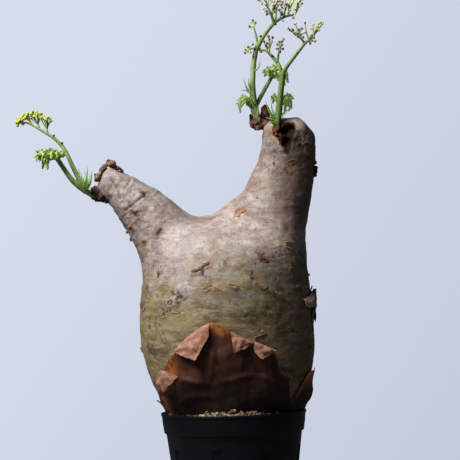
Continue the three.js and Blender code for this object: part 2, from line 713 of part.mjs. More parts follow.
// The shoot at the end of the left arm: a flower stalk with a flat-topped head of buds, and a
// thick leaf stalk whose toothed leaflets are still curled over
const LEFT_SHOOT = {
  seed: 21,
  stems: [
    {
      points: [
        [-106, -10, 279], [-112.5, -11, 282.5], [-116.5, -12, 285.5], [-120, -12, 291],
        [-126.5, -13, 305], [-133, -14, 319.5], [-141, -15, 328.5], [-152, -15, 336],
        [-161.5, -15, 342], [-166.5, -15, 344],
      ],
      radii: [2.3, 2.2, 2, 1.7, 1.4, 0.9],
      cymes: [
        { from: 0.78, to: 0.82, towards: [0.75, -0.1, 0.9], count: 3, length: 9.5 },
        { from: 0.82, to: 0.86, towards: [0.3, 0.3, 1], count: 3, length: 10 },
        { from: 0.86, to: 0.91, towards: [0.1, -0.4, 1], count: 4, length: 9.5 },
        { from: 0.91, to: 0.95, towards: [-0.25, 0.2, 1], count: 4, length: 8 },
        { from: 0.95, to: 0.98, towards: [-0.75, 0.4, 0.5], count: 3, length: 6 },
        { from: 0.98, to: 0.998, towards: [-0.9, -0.3, 0.1], count: 4, length: 5.5 },
      ],
    },
    {
      points: [
        [-108, -11, 279.5], [-113.5, -13.5, 282.5], [-119.5, -16, 286.5], [-127.5, -20, 294.5],
        [-136.5, -22, 308.5], [-140, -22, 313.5],
      ],
      radii: [2.3, 2.3, 2.1, 2],
    },
  ],
  blades: [
    {
      points: [
        [-140.5, -22, 312.5], [-144, -24, 319.5], [-151, -25, 319], [-155, -26, 314.5],
        [-154.5, -26, 308.5],
      ],
      width: 8,
      side: [0, 1, 0.1],
    },
    {
      points: [
        [-141, -23.5, 312], [-145.5, -28, 317], [-149, -30, 313.5], [-150, -30, 308],
        [-150, -30, 302.5],
      ],
      width: 8,
      side: [0.6, 0.8, 0],
    },
    {
      points: [
        [-139.5, -24, 311.5], [-143, -30, 317], [-145, -33, 312.5], [-145.5, -33, 307],
        [-145.5, -33, 301.5],
      ],
      width: 7.5,
      side: [1, 0.3, 0],
    },
    {
      points: [[-140, -20, 312], [-146, -16, 320.5], [-152, -13, 318.5], [-154.5, -12, 313]],
      width: 7.5,
      side: [0.3, 1, 0],
    },
    {
      points: [[-138.5, -21, 311], [-137.5, -18, 319], [-134.5, -16, 317], [-134.5, -16, 311]],
      width: 8,
      side: [0, 1, 0],
    },
    {
      points: [[-138.5, -23, 311.5], [-138, -30, 318], [-136.5, -33, 315], [-138, -33, 308]],
      width: 7.5,
      side: [1, 0.2, 0],
    },
  ],
  bracts: [
    { points: [[-117.5, -13, 286], [-120.5, -18, 292.5], [-121, -20, 303]], radius: 1.9 },
    { points: [[-116.5, -13, 286], [-115, -21, 293], [-113, -24, 304.5]], radius: 1.8 },
    { points: [[-115.5, -13, 286], [-111.5, -24, 291], [-109.5, -27, 300.5]], radius: 1.7 },
    { points: [[-118.5, -12, 286.5], [-123, -8, 292.5], [-125, -6, 301]], radius: 1.6 },
    { points: [[-116.5, -14, 285.5], [-116.5, -22, 288.5], [-117.5, -26, 296]], radius: 1.9 },
  ],
};

// The taller shoot on the right arm: it stands in the dead stub, bears a hooked young leaf and
// bracts on its left, a stalked young leaf on its right, and sprays of buds above
const TALL_SHOOT = {
  seed: 34,
  stems: [
    {
      points: [
        [28, -2, 334], [26.2, -3, 343], [24.2, -4, 356.5], [23.7, -5, 370], [25, -5, 385],
        [27.2, -5, 397], [29.5, -5, 403],
      ],
      radii: [2.9, 2.5, 2.1, 2, 1.9],
      sides: 6,
    },
    { points: [[29.3, -5, 401.5], [35.5, -6, 411.5], [43.5, -7, 420.5]], radii: [1.9, 1.7, 1.5] },
    {
      points: [[29, -4, 403], [28, -3, 410], [25.5, -1, 421]],
      radii: [1.1, 0.9, 0.7],
      sides: 4,
      cymes: [{ from: 0.86, to: 0.99, towards: [-0.1, 0, 1], count: 3, length: 3.4 }],
    },
    {
      points: [[27.5, -6, 399], [24, -8, 399], [20.5, -9, 397.5]],
      radii: [1, 0.8, 0.6],
      sides: 4,
      cymes: [{ from: 0.6, to: 0.99, towards: [-1, 0, 0.1], count: 3, length: 3 }],
    },
    {
      points: [[42.8, -7, 419.5], [41, -9, 426.5], [36.8, -12, 437]],
      radii: [1.4, 1.1, 0.9],
      cymes: [
        { from: 0.5, to: 0.6, towards: [0.9, 0.3, 0.8], count: 2, length: 6.5 },
        { from: 0.7, to: 0.82, towards: [0.5, -0.4, 1], count: 3, length: 7.5 },
        { from: 0.85, to: 0.99, towards: [-0.7, -0.2, 0.8], count: 4, length: 7.5 },
      ],
    },
    {
      points: [[42.8, -7, 419.8], [48, -4, 423.5], [54, -1, 426.5], [60.5, 2, 428.5], [64.5, 4, 435]],
      radii: [1.4, 1.1, 0.9],
      cymes: [
        { from: 0.28, to: 0.36, towards: [-0.2, -0.7, 1], count: 2, length: 6 },
        { from: 0.46, to: 0.56, towards: [0.05, 0.5, 1], count: 3, length: 8.5 },
        { from: 0.62, to: 0.74, towards: [0.2, 0.8, 0.9], count: 2, length: 6.5 },
        { from: 0.88, to: 0.99, towards: [0.25, -0.2, 1], count: 4, length: 7 },
      ],
    },
    {
      points: [[43, -7, 420], [45, 2, 426.5], [46.5, 12, 438]],
      radii: [1.2, 0.9, 0.8],
      sides: 4,
      cymes: [{ from: 0.8, to: 0.99, towards: [0.1, 0.4, 1], count: 3, length: 5.5 }],
    },
    {
      points: [[25, -2.5, 349], [28.5, 0, 356.5], [32.5, 4, 364], [39.5, 8, 376], [41.5, 8, 378.5]],
      radii: [1.9, 1.9, 1.8, 1.7],
    },
  ],
  blades: [
    {
      points: [[24, -5, 352.5], [19, -7, 357], [14, -9, 357], [12, -10, 353], [13, -10, 346.5]],
      width: 6,
      side: [0.1, 1, 0.1],
    },
    {
      points: [[24, -2.5, 354.5], [19.5, 0, 360], [15, 2, 361], [11.5, 3, 358]],
      width: 5.5,
      side: [0, 1, 0.2],
    },
    {
      points: [[24, -5.5, 350], [19.5, -10, 354], [15.5, -12, 353.5], [14, -13, 350]],
      width: 5,
      side: [0.2, 1, 0.2],
    },
    {
      points: [[40, 7, 376], [38, 6, 383], [34.5, 4, 381.5], [34.5, 3, 376]],
      width: 7.5,
      side: [0.2, 1, 0],
    },
    {
      points: [[41, 7, 377], [43, 4, 384], [46.5, 2, 383.5], [48, 1, 378]],
      width: 7.5,
      side: [0.2, 1, 0],
    },
    {
      points: [[41.5, 9, 377], [48.5, 13, 383.5], [53.5, 15, 381.5], [54.5, 15, 373]],
      width: 8,
      side: [-0.4, 1, 0],
    },
    {
      points: [[40.5, 9, 376.5], [41, 14, 384], [44, 18, 382.5], [46, 19, 375]],
      width: 7.5,
      side: [1, 0.2, 0],
    },
  ],
  bracts: [
    { points: [[24, -5, 361.5], [18.5, -7, 367], [16.5, -8, 374.5]], radius: 1.3 },
    { points: [[24, -5, 363], [20.8, -8, 368], [20.3, -9, 375]], radius: 1.2 },
    { points: [[23.5, -6, 360.5], [18, -8, 364.5], [13.5, -9, 364]], radius: 1 },
    { points: [[26, -6, 380.5], [29.5, -8, 384.5], [30.7, -9, 391.5]], radius: 0.9 },
  ],
};

// The lower shoot, in front on the right arm's tip, that forks into two flowering branches
const FORKED_SHOOT = {
  seed: 55,
  stems: [
    {
      points: [
        [42, -8, 323], [43.3, -11.5, 333], [45, -13, 346.5], [47.1, -14, 365], [48.8, -14, 377],
      ],
      radii: [2.5, 2.5, 2.4, 2.4, 2.3],
      sides: 6,
    },
    {
      points: [
        [48, -14, 375.5], [46, -13, 383.5], [42, -12, 389.5], [38.5, -12, 393.5],
        [35.5, -12, 396.5], [32, -12, 397],
      ],
      radii: [1.9, 1.6, 1.4, 1],
      cymes: [
        { from: 0.8, to: 0.9, towards: [0.05, -0.3, 1], count: 3, length: 7 },
        { from: 0.95, to: 0.99, towards: [-0.9, 0.4, -0.1], count: 1, length: 2.5 },
      ],
    },
    {
      points: [[44.5, -13, 385.5], [45.5, -15, 392], [47, -17, 399]],
      radii: [1.2, 1, 0.8],
      sides: 4,
      cymes: [{ from: 0.6, to: 0.99, towards: [0.15, 0, 1], count: 5, length: 2.8 }],
    },
    {
      points: [[48, -14, 375.5], [52.5, -15, 382.5], [61, -16, 393], [68, -16, 401.5]],
      radii: [1.9, 1.6, 1.4],
    },
    {
      points: [[67.5, -16, 401], [65, -18, 404], [60.5, -20, 408.5], [56, -21, 411.5]],
      radii: [1.1, 0.9, 0.7],
      sides: 4,
      cymes: [
        { from: 0.4, to: 0.65, towards: [0.3, 0.2, 1], count: 3, length: 8 },
        { from: 0.8, to: 0.98, towards: [-0.8, -0.2, 0.5], count: 3, length: 3.5 },
      ],
    },
    {
      points: [
        [67.5, -16, 401], [71.5, -15, 404.5], [74.5, -14, 406.5], [77, -13, 410.5],
        [78.5, -13, 414],
      ],
      radii: [1.3, 1.1, 0.7],
      sides: 4,
      cymes: [
        { from: 0.3, to: 0.4, towards: [-0.45, -0.3, 1], count: 1, length: 11 },
        { from: 0.4, to: 0.55, towards: [0.3, -0.9, 0.2], count: 2, length: 2.4 },
        { from: 0.66, to: 0.78, towards: [0, 0.6, 1], count: 2, length: 6 },
        { from: 0.9, to: 0.99, towards: [0.5, 0, 0.9], count: 3, length: 4.5 },
      ],
    },
  ],
  blades: [
    {
      points: [
        [45, -14, 350.5], [48.5, -18, 357], [53, -20, 357.5], [55.5, -21, 354], [55, -21, 349],
      ],
      width: 6,
      side: [0.1, 1, 0.1],
    },
    {
      points: [[45, -14.5, 352.5], [47.5, -20, 355.5], [49, -22, 352], [48.5, -23, 345]],
      width: 5.5,
      side: [0.7, 0.7, 0],
    },
    {
      points: [[45, -12, 352.5], [42.5, -9, 359], [40.5, -7, 359], [40.5, -6, 353]],
      width: 5.5,
      side: [0.2, 1, 0],
    },
    {
      points: [[43.5, -12.5, 336.5], [38, -16, 338.5], [33.5, -19, 341]],
      width: 4.6,
      side: [0, 1, 0.5],
      teeth: 2,
      fold: 20,
    },
  ],
  bracts: [
    { points: [[43, -13, 338.5], [37.5, -16, 344], [33.5, -19, 354.5]], radius: 1.7 },
    { points: [[43.5, -12, 340], [39.5, -12, 346], [38, -12, 356]], radius: 1.1 },
    { points: [[44.5, -13, 341], [50.5, -18, 345.5], [58, -21, 349]], radius: 0.9 },
    { points: [[44.5, -13, 339.5], [48.5, -15, 343], [52.5, -17, 345]], radius: 0.9 },
  ],
};

// Rough lumps of dead tissue: where stems were lost, and old bark round the new shoots
const LEFT_STUB = [
  { centre: [-108.5, -10, 283], radii: [5, 6.8, 6], tilt: 20 },
  { centre: [-104.5, -11, 279.5], radii: [5, 6, 4.2], tilt: 40 },
];
const LEFT_OLD_BARK = [
  { centre: [-106, -10, 296.5], radii: [4.4, 5, 2.6], tilt: -50 },
  { centre: [-101, -10, 302.3], radii: [4.6, 6, 3.2], tilt: -50 },
  { centre: [-95.5, -9, 306.5], radii: [4.4, 5.6, 3.6], tilt: -10 },
];
const RIGHT_STUB = [
  { centre: [27.6, -1.5, 337.4], radii: [7, 7, 5.6], tilt: 8 },
  { centre: [33.5, 2, 343.5], radii: [3.9, 4.6, 8.4], tilt: -4 },
  { centre: [22.3, -3, 341.5], radii: [1.9, 2, 4], tilt: -10 },
  { centre: [34, -1, 335], radii: [5.4, 6, 4.6], tilt: 25 },
];
const RIGHT_OLD_BARK = [{ centre: [43, -13.5, 330], radii: [4.2, 3.4, 4.4], tilt: 0 }];
const SCAR_HOLLOW = [
  { centre: [51.5, -15.5, 329.5], radii: [6, 6.5, 5.5], tilt: 0 },
  { centre: [56, -14, 332.3], radii: [3.6, 5, 4], tilt: 0 },
  { centre: [50, -18.5, 318.5], radii: [3.8, 4.2, 6], tilt: -10 },
];

const FIRST_LUMP_SEED = 3;
const lumpsOf = (rows) => fuse(rows.map((row, i) => deadLump(row, FIRST_LUMP_SEED + i)));

// A hole for the foot of a stem, a little wider and deeper than the stem
function socket({ points, radii, sides = 5 }, length) {
  const wide = (Math.max(...radii) + SOCKET_PLAY) / Math.cos(Math.PI / sides);
  const [foot, next] = points.map(vector);
  const bottom = foot.clone().addScaledVector(next.sub(foot).normalize(), -GAP);
  return taperedTube([[...bottom], ...points.slice(1, length)], [wide, wide], sides, length + 1);
}

// Materials, one colour for each kind of piece
const material = (color, roughness) =>
  new THREE.MeshStandardMaterial({ color, roughness, metalness: 0 });
const potPlastic = material(0x14151a, 0.45);
const soilGrit = material(0x9a7a50, 0.95);
const caudexBark = material(0xa08c78, 0.75);
const paperBark = material(0x8a4a2c, 0.6);
const deadBrown = material(0x4a2a1e, 0.85);
const shootGreen = material(0x7fa84a, 0.5);

const caudexSkin = wrapCaudex(GAP);
const looseSkin = wrapCaudex(LOOSE_GAP);
const sockets = fuse([
  socket(LEFT_SHOOT.stems[0], 4),
  socket(LEFT_SHOOT.stems[1], 3),
  socket(TALL_SHOOT.stems[0], 3),
  socket(FORKED_SHOOT.stems[0], 3),
]);
const barkOverSockets = looseSkin.subtract(sockets);
const hollow = lumpsOf(SCAR_HOLLOW);

const pieces = [
  ["pot", makePot(), potPlastic],
  ["soil", makeSoil(wrapCaudex(SOIL_GAP)), soilGrit],
  ["caudex", largestBody(wrapCaudex(0).subtract(sockets).subtract(hollow)), caudexBark],
  ["papery_bark", makeBarkSheet(caudexSkin), paperBark],
  ["bark_curl", makeBarkCurl(caudexSkin), paperBark],
];
const lumpPieces = { LEFT_STUB, LEFT_OLD_BARK, RIGHT_STUB, RIGHT_OLD_BARK };
for (const [name, rows] of Object.entries(lumpPieces)) {
  const solid = lumpsOf(rows).subtract(looseSkin).subtract(sockets);
  pieces.push([name.toLowerCase(), largestBody(solid), deadBrown]);
}
for (const [name, shoot] of Object.entries({ LEFT_SHOOT, TALL_SHOOT, FORKED_SHOOT })) {
  pieces.push([name.toLowerCase(), growShoot(shoot, barkOverSockets), shootGreen]);
}

const model = new THREE.Group();
for (const [name, solid, look] of pieces) model.add(meshOf(name, solid, look));

export default model;
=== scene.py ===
"""The looks of a potted caudex plant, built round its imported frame.

Places in the tables are in millimetres, in the frame's axes: x to the right, y away from the
front, z up. Meshes are made in metres, and their cells, the key light and the floor are given
in metres.
"""
import math
import random

import bmesh
import bpy
import numpy as np
from mathutils import Matrix, Vector, noise
from mathutils.bvhtree import BVHTree


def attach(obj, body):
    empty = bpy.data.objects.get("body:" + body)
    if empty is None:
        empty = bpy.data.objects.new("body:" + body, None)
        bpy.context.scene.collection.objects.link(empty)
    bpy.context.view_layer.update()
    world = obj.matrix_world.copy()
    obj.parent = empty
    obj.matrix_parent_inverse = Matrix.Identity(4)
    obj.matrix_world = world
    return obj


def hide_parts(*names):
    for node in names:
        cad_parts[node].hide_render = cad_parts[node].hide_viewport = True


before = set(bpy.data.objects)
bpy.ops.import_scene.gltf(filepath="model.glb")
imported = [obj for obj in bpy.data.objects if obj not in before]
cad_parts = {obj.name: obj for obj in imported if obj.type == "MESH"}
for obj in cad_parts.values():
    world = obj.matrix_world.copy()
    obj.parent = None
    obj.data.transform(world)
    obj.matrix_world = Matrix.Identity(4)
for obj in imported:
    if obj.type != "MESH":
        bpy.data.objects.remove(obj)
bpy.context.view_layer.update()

MM = 0.001

bl_info = {
    "name": "Potted caudex plant",
    "version": (1, 0, 0),
    "blender": (4, 5, 0),
    "location": "3D Viewport > Sidebar > Plant",
    "description": "Makes the bark, torn paper, shoots, grit and pot of a potted caudex plant",
    "category": "Add Mesh",
}


# Sizes and colours that a user would change
class PlantLook(bpy.types.PropertyGroup):
    bark_cell: bpy.props.FloatProperty(
        name="Bark cell", description="Size of the bark mesh's faces",
        default=0.00125, unit="LENGTH",
    )
    bark_relief: bpy.props.FloatProperty(
        name="Bark relief", description="Share of the full height of wrinkles, scars and cracks",
        default=1.0, subtype="FACTOR",
    )
    grain_count: bpy.props.IntProperty(
        name="Grains", description="Loose granules on top of the soil",
        default=1150,
    )
    bark_pale: bpy.props.FloatVectorProperty(
        name="Pale bark", description="Lightest tone of the upper bark",
        default=(0.55, 0.49, 0.465), subtype="COLOR",
    )
    bark_olive: bpy.props.FloatVectorProperty(
        name="Olive bark", description="Green tone of the lower bark",
        default=(0.17, 0.13, 0.06), subtype="COLOR",
    )
    paper_brown: bpy.props.FloatVectorProperty(
        name="Paper bark", description="Red-brown tone of the peeling sheet",
        default=(0.06, 0.02, 0.011), subtype="COLOR",
    )
    stem_green: bpy.props.FloatVectorProperty(
        name="Stem green", description="Tone of the young stems",
        default=(0.2, 0.29, 0.08), subtype="COLOR",
    )
    pot_black: bpy.props.FloatVectorProperty(
        name="Pot black", description="Tone of the moulded pot",
        default=(0.0035, 0.0037, 0.0055), subtype="COLOR",
    )
    key_power: bpy.props.FloatProperty(
        name="Key light", description="Power of the soft light at the upper left",
        default=40.0, unit="POWER",
    )


def look():
    return bpy.context.scene.plant_look


# Shader graphs, written as sums of wires
class Wire:
    """A shader socket that takes part in sums: each operator adds the Math node it needs."""

    def __init__(self, graph, socket):
        self.graph = graph
        self.socket = socket

    def math(self, operation, *values, clamp=False):
        settings = {"operation": operation, "use_clamp": clamp}
        return self.graph.node("ShaderNodeMath", settings, dict(enumerate(values)))

    def __add__(self, other):
        return self.math("ADD", self, other)

    def __sub__(self, other):
        return self.math("SUBTRACT", self, other)

    def __rsub__(self, other):
        return self.math("SUBTRACT", other, self)

    def __mul__(self, other):
        return self.math("MULTIPLY", self, other)

    def __truediv__(self, other):
        return self.math("DIVIDE", self, other)

    __radd__ = __add__
    __rmul__ = __mul__

    def clamped(self):
        return self.math("ADD", self, 0.0, clamp=True)

    def step(self, low, high):
        """0 below low, 1 above high, and smooth between them; low may be the larger."""
        settings = {"interpolation_type": "SMOOTHSTEP"}
        inputs = {"Value": self, "From Min": low, "From Max": high}
        return self.graph.node("ShaderNodeMapRange", settings, inputs)


class Graph:
    """The node tree of a material or of the world."""

    def __init__(self, owner):
        self.owner = owner
        owner.use_nodes = True
        self.tree = owner.node_tree
        self.tree.nodes.clear()

    @classmethod
    def material(cls, name):
        return cls(bpy.data.materials.new(name))

    def node(self, kind, settings=None, inputs=None, output=0):
        made = self.tree.nodes.new(kind)
        for key, value in (settings or {}).items():
            if key == "stops":
                self.set_stops(made.color_ramp, value)
            else:
                setattr(made, key, value)
        for key, value in (inputs or {}).items():
            if isinstance(value, Wire):
                self.tree.links.new(value.socket, made.inputs[key])
            else:
                made.inputs[key].default_value = value
        return Wire(self, made.outputs[output]) if made.outputs else None

    @staticmethod
    def set_stops(ramp, stops):
        while len(ramp.elements) < len(stops):
            ramp.elements.new(1.0)
        for element, (position, colour) in zip(ramp.elements, stops):
            element.position = position
            element.color = (*colour, 1.0)

    def place(self, scale):
        """Where a point is, in metres times a scale along each axis."""
        spot = self.node("ShaderNodeTexCoord", output="Object")
        return self.node("ShaderNodeVectorMath", {"operation": "MULTIPLY"}, {0: spot, 1: scale})

    def noise(self, scale, detail, roughness, stretch=(1, 1, 1), distortion=0.0):
        inputs = {"Vector": self.place(stretch), "Scale": scale, "Detail": detail}
        inputs |= {"Roughness": roughness, "Distortion": distortion}
        return self.node("ShaderNodeTexNoise", None, inputs)

    def ramp(self, value, stops):
        return self.node("ShaderNodeValToRGB", {"stops": stops}, {"Fac": value})

    def mix(self, factor, first, second, blend="MIX"):
        settings = {"data_type": "RGBA", "blend_type": blend}
        first, second = ((*c, 1.0) if isinstance(c, tuple) else c for c in (first, second))
        inputs = {0: factor, 6: first, 7: second}
        return self.node("ShaderNodeMix", settings, inputs, output=2)

    def mark(self, name):
        """A number that the mesh carries at each of its points."""
        return self.node("ShaderNodeAttribute", {"attribute_name": name}, output="Fac")

    def tinted(self, shade):
        """The tint that the mesh carries at each of its points, times a shade."""
        tint = self.node("ShaderNodeAttribute", {"attribute_name": "tint"}, output="Color")
        return self.mix(1.0, tint, shade, "MULTIPLY")

    def patched(self, colour, patches):
        """A colour with patches of others, from rows like those of UPPER_PATCHES."""
        for scale, detail, roughness, stretch, distortion, low, high, share, other in patches:
            grain = self.noise(scale, detail, roughness, (1, 1, stretch), distortion)
            colour = self.mix(grain.step(low, high) * share, colour, other)
        return colour

    def bump(self, height, distance, strength):
        inputs = {"Height": height, "Distance": distance, "Strength": strength}
        return self.node("ShaderNodeBump", None, inputs)

    def shader(self, colour, roughness, normal=None, **constants):
        inputs = {"Base Color": colour, "Roughness": roughness}
        if normal is not None:
            inputs["Normal"] = normal
        inputs.update({key.replace("_", " "): value for key, value in constants.items()})
        return self.node("ShaderNodeBsdfPrincipled", None, inputs, output="BSDF")

    def finish(self, shader):
        self.node("ShaderNodeOutputMaterial", None, {"Surface": shader})
        return self.owner

    def surface(self, colour, roughness, normal=None, **constants):
        return self.finish(self.shader(colour, roughness, normal, **constants))


# Patches of other colours in the bark: scale, detail and roughness of their noise, its stretch
# in height and its distortion, the noise between which a patch sets in, its share, its colour
UPPER_PATCHES = [
    (64, 6, 0.68, 1, 0.3, 0.5, 0.6, 0.5, (0.36, 0.235, 0.16)),
    (150, 5, 0.66, 1.2, 0, 0.53, 0.62, 0.45, (0.34, 0.22, 0.19)),
    (37, 6, 0.66, 1, 0.6, 0.5, 0.62, 0.45, (0.3, 0.28, 0.3)),
    (118, 5, 0.7, 1.3, 0, 0.56, 0.64, 0.35, (0.6, 0.56, 0.56)),
    (235, 4, 0.65, 1, 0, 0.57, 0.66, 0.5, (0.25, 0.175, 0.135)),
]
LOWER_PATCHES = [
    (27, 6, 0.6, 1.5, 0.6, 0.48, 0.6, 0.4, (0.24, 0.225, 0.075)),
    (34, 6, 0.7, 1.3, 0.9, 0.52, 0.62, 0.45, (0.135, 0.1, 0.07)),
    (46, 6, 0.65, 1, 0.8, 0.5, 0.62, 0.5, (0.34, 0.23, 0.145)),
]
WHOLE_PATCH = (52, 6, 0.68, 1, 0.5, 0.53, 0.64, 0.45, (0.2, 0.135, 0.105))
OCHRE_PATCH = (92, 5, 0.62, 1, 0.8, 0.54, 0.66, 0.35, (0.42, 0.29, 0.15))


def bark_material():
    graph = Graph.material("caudex_bark")
    pale = tuple(look().bark_pale)
    olive = tuple(look().bark_olive)
    blotch = graph.noise(40, 6, 0.6, distortion=0.7)
    streak = graph.noise(120, 6, 0.66, stretch=(1, 1, 1.7), distortion=0.5)
    fine = graph.noise(560, 4, 0.65, stretch=(1, 1, 1.6))
    greys = [(0.4, (0.17, 0.125, 0.105)), (0.46, (0.3, 0.235, 0.205)), (0.515, (0.42, 0.35, 0.315))]
    upper = graph.ramp(blotch * 0.38 + streak * 0.3 + fine * 0.32, [*greys, (0.58, pale)])
    upper = graph.patched(upper, UPPER_PATCHES)
    bands = graph.noise(62, 6, 0.66, stretch=(0.7, 0.7, 2.2), distortion=0.6) * 0.7 + fine * 0.3
    greens = [(0.4, (0.085, 0.06, 0.03)), (0.47, olive), (0.53, (0.28, 0.22, 0.125))]
    lower = graph.ramp(bands, [*greens, (0.6, (0.36, 0.31, 0.21))])
    lower = graph.patched(lower, LOWER_PATCHES)
    edge = graph.mark("green") + (graph.noise(70, 6, 0.65, distortion=0.5) - 0.5) * 1.3
    colour = graph.mix(edge.step(0.25, 0.75), upper, lower)
    cool = graph.mark("grey") * graph.noise(75, 5, 0.62, stretch=(1, 1, 1.8)).step(0.4, 0.58)
    colour = graph.mix(cool * 0.65, colour, (0.36, 0.365, 0.31))
    colour = graph.patched(colour, [WHOLE_PATCH])
    yellow = (graph.mark("yellow") * graph.noise(85, 4, 0.6).step(0.38, 0.6)).clamped()
    colour = graph.mix(yellow * 0.6, colour, (0.33, 0.28, 0.085))
    lines = graph.noise(250, 3, 0.6, stretch=(0.35, 0.35, 2.2)).step(0.42, 0.62)
    colour = graph.mix(lines * 0.22, colour, (0.62, 0.57, 0.53), "MULTIPLY")
    colour = graph.patched(colour, [OCHRE_PATCH])
    # Painted shade on the right side, together with brown patches, darkens the colour.
    shade = graph.mark("stain").clamped()
    colour = graph.mix(shade, colour, (0.42, 0.33, 0.29), "MULTIPLY")
    speck = graph.noise(480, 3, 0.6).step(0.61, 0.72)
    colour = graph.mix(speck * 0.5, colour, (0.09, 0.065, 0.05))
    warm = (graph.mark("rust") * (0.25 + graph.noise(380, 4, 0.65) * 1.3)).clamped()
    rusts = [(0.36, (0.11, 0.045, 0.022)), (0.52, (0.27, 0.135, 0.065)), (0.7, (0.46, 0.29, 0.18))]
    rusty = graph.ramp(graph.noise(300, 4, 0.6), rusts)
    colour = graph.mix(warm, colour, rusty)
    crumbs = graph.noise(420, 4, 0.65, stretch=(1, 1, 0.5))
    reds = [(0.36, (0.012, 0.005, 0.003)), (0.5, (0.035, 0.014, 0.008)), (0.66, (0.075, 0.033, 0.018))]
    rot = graph.ramp(crumbs, reds)
    rotten = graph.mark("rot").clamped()
    colour = graph.mix(rotten, colour, rot)
    deep = (graph.mark("dark") * (0.55 + graph.noise(330, 3, 0.6))).clamped()
    colour = graph.mix(deep * 0.92, colour, (0.022, 0.014, 0.01))
    # The pale mark holds pale rings, scales and pits, and painted light on the top of the right arm's
    # tip.
    pale_and_lit = (graph.mark("pale") * (0.4 + graph.noise(300, 3, 0.6))).clamped()
    colour = graph.mix(pale_and_lit * 0.7, colour, (0.5, 0.41, 0.34))
    height = lines * -0.1 + fine * 0.65 + streak * 0.35 + speck * -0.4
    height += graph.noise(1300, 3, 0.6) * 0.35
    gloss = (0.36 + fine * 0.3 + edge * 0.06 + deep * 0.35 + rotten * 0.6).clamped()
    normal = graph.bump(height, 0.0006, 0.7)
    bark = graph.shader(colour, gloss, normal, Specular_IOR_Level=0.45)
    dull = graph.shader(colour, 1.0, normal, Specular_IOR_Level=0.0)
    return graph.finish(graph.node("ShaderNodeMixShader", None, {0: rotten, 1: bark, 2: dull}))


def paper_material():
    graph = Graph.material("paper_bark")
    brown = tuple(look().paper_brown)
    fibres = graph.noise(95, 6, 0.65, stretch=(1, 1, 0.22), distortion=0.3)
    browns = [(0.3, (0.018, 0.006, 0.004)), (0.5, brown), (0.72, (0.13, 0.046, 0.026))]
    colour = graph.ramp(fibres, browns)
    crinkle = graph.noise(230, 5, 0.62)
    pinks = [(0.3, (0.26, 0.115, 0.066)), (0.5, (0.4, 0.195, 0.12)), (0.7, (0.52, 0.3, 0.2))]
    inner = graph.ramp(crinkle, pinks)
    colour = graph.mix(graph.mark("inner").clamped(), colour, inner)
    glow = (graph.mark("glow") * (0.2 + crinkle.step(0.36, 0.56) * 0.9)).clamped()
    colour = graph.mix(glow, colour, (0.47, 0.145, 0.035))
    lit = (graph.mark("back") * (0.35 + crinkle.step(0.3, 0.7) * 0.65)).clamped()
    shine = graph.mix(lit, (0.0, 0.0, 0.0), (0.1, 0.032, 0.012))
    # Painted shade darkens the sheet towards its foot.
    colour = graph.mix(graph.mark("stain").clamped(), colour, (0.014, 0.008, 0.007))
    normal = graph.bump(crinkle + fibres * 0.5, 0.0007, 0.7)
    gloss = (0.45 + crinkle * 0.3).clamped()
    # Painted light: the lit back of the sheet's right part glows.
    through = {"Emission_Color": shine, "Emission_Strength": 1.0}
    return graph.surface(colour, gloss, normal, Specular_IOR_Level=0.25, **through)


def dead_material():
    graph = Graph.material("dead_tissue")
    grit = graph.noise(420, 6, 0.7)
    greys = [(0.32, (0.25, 0.25, 0.25)), (0.52, (0.8, 0.8, 0.8)), (0.72, (1.7, 1.6, 1.5))]
    colour = graph.tinted(graph.ramp(grit, greys))
    normal = graph.bump(grit + graph.noise(1100, 3, 0.6) * 0.4, 0.0007, 0.9)
    return graph.surface(colour, 0.85 - grit * 0.2, normal, Specular_IOR_Level=0.2)


def flake_material():
    graph = Graph.material("loose_flake")
    grain = graph.noise(500, 4, 0.6)
    colour = graph.tinted(graph.ramp(grain, [(0.3, (0.55, 0.5, 0.48)), (0.7, (1.25, 1.2, 1.15))]))
    normal = graph.bump(grain, 0.0004, 0.8)
    return graph.surface(colour, 0.7 - grain * 0.2, normal)


def stem_material():
    graph = Graph.material("young_stem")
    green = tuple(look().stem_green)
    streak = graph.noise(330, 4, 0.6, stretch=(1, 1, 0.18))
    greens = [(0.34, (0.12, 0.2, 0.04)), (0.52, green), (0.7, (0.36, 0.47, 0.2))]
    colour = graph.tinted(graph.ramp(streak, greens))
    down = graph.noise(2600, 2, 0.5)
    normal = graph.bump(down * 0.4 + streak, 0.0003, 0.45)
    gloss = 0.52 + down * 0.15
    return graph.surface(colour, gloss, normal, Specular_IOR_Level=0.4)


def leaf_material():
    graph = Graph.material("young_leaf")
    vein = graph.noise(700, 3, 0.55)
    greens = [(0.36, (0.13, 0.21, 0.04)), (0.52, (0.21, 0.32, 0.075)), (0.66, (0.34, 0.45, 0.15))]
    colour = graph.tinted(graph.ramp(vein, greens))
    normal = graph.bump(vein, 0.0003, 0.8)
    # Painted light: the leaves glow faintly in their own colour, as if lit through.
    through = {"Emission_Color": colour, "Emission_Strength": 0.075}
    return graph.surface(colour, 0.5 + vein * 0.1, normal, Specular_IOR_Level=0.4, **through)


def bud_material():
    graph = Graph.material("flower_bud")
    freckle = graph.noise(1500, 3, 0.6)
    colour = graph.tinted(graph.ramp(freckle, [(0.35, (0.6, 0.55, 0.5)), (0.62, (1.2, 1.2, 1.15))]))
    normal = graph.bump(freckle, 0.0002, 0.6)
    return graph.surface(colour, 0.6 + freckle * 0.15, normal, Specular_IOR_Level=0.25)


def grit_material():
    graph = Graph.material("soil_granule")
    pores = graph.noise(1400, 4, 0.7)
    colour = graph.tinted(graph.ramp(pores, [(0.34, (0.35, 0.32, 0.3)), (0.6, (1.15, 1.15, 1.15))]))
    normal = graph.bump(pores, 0.0005, 1.0)
    return graph.surface(colour, 0.85 + pores * 0.1, normal, Specular_IOR_Level=0.25)


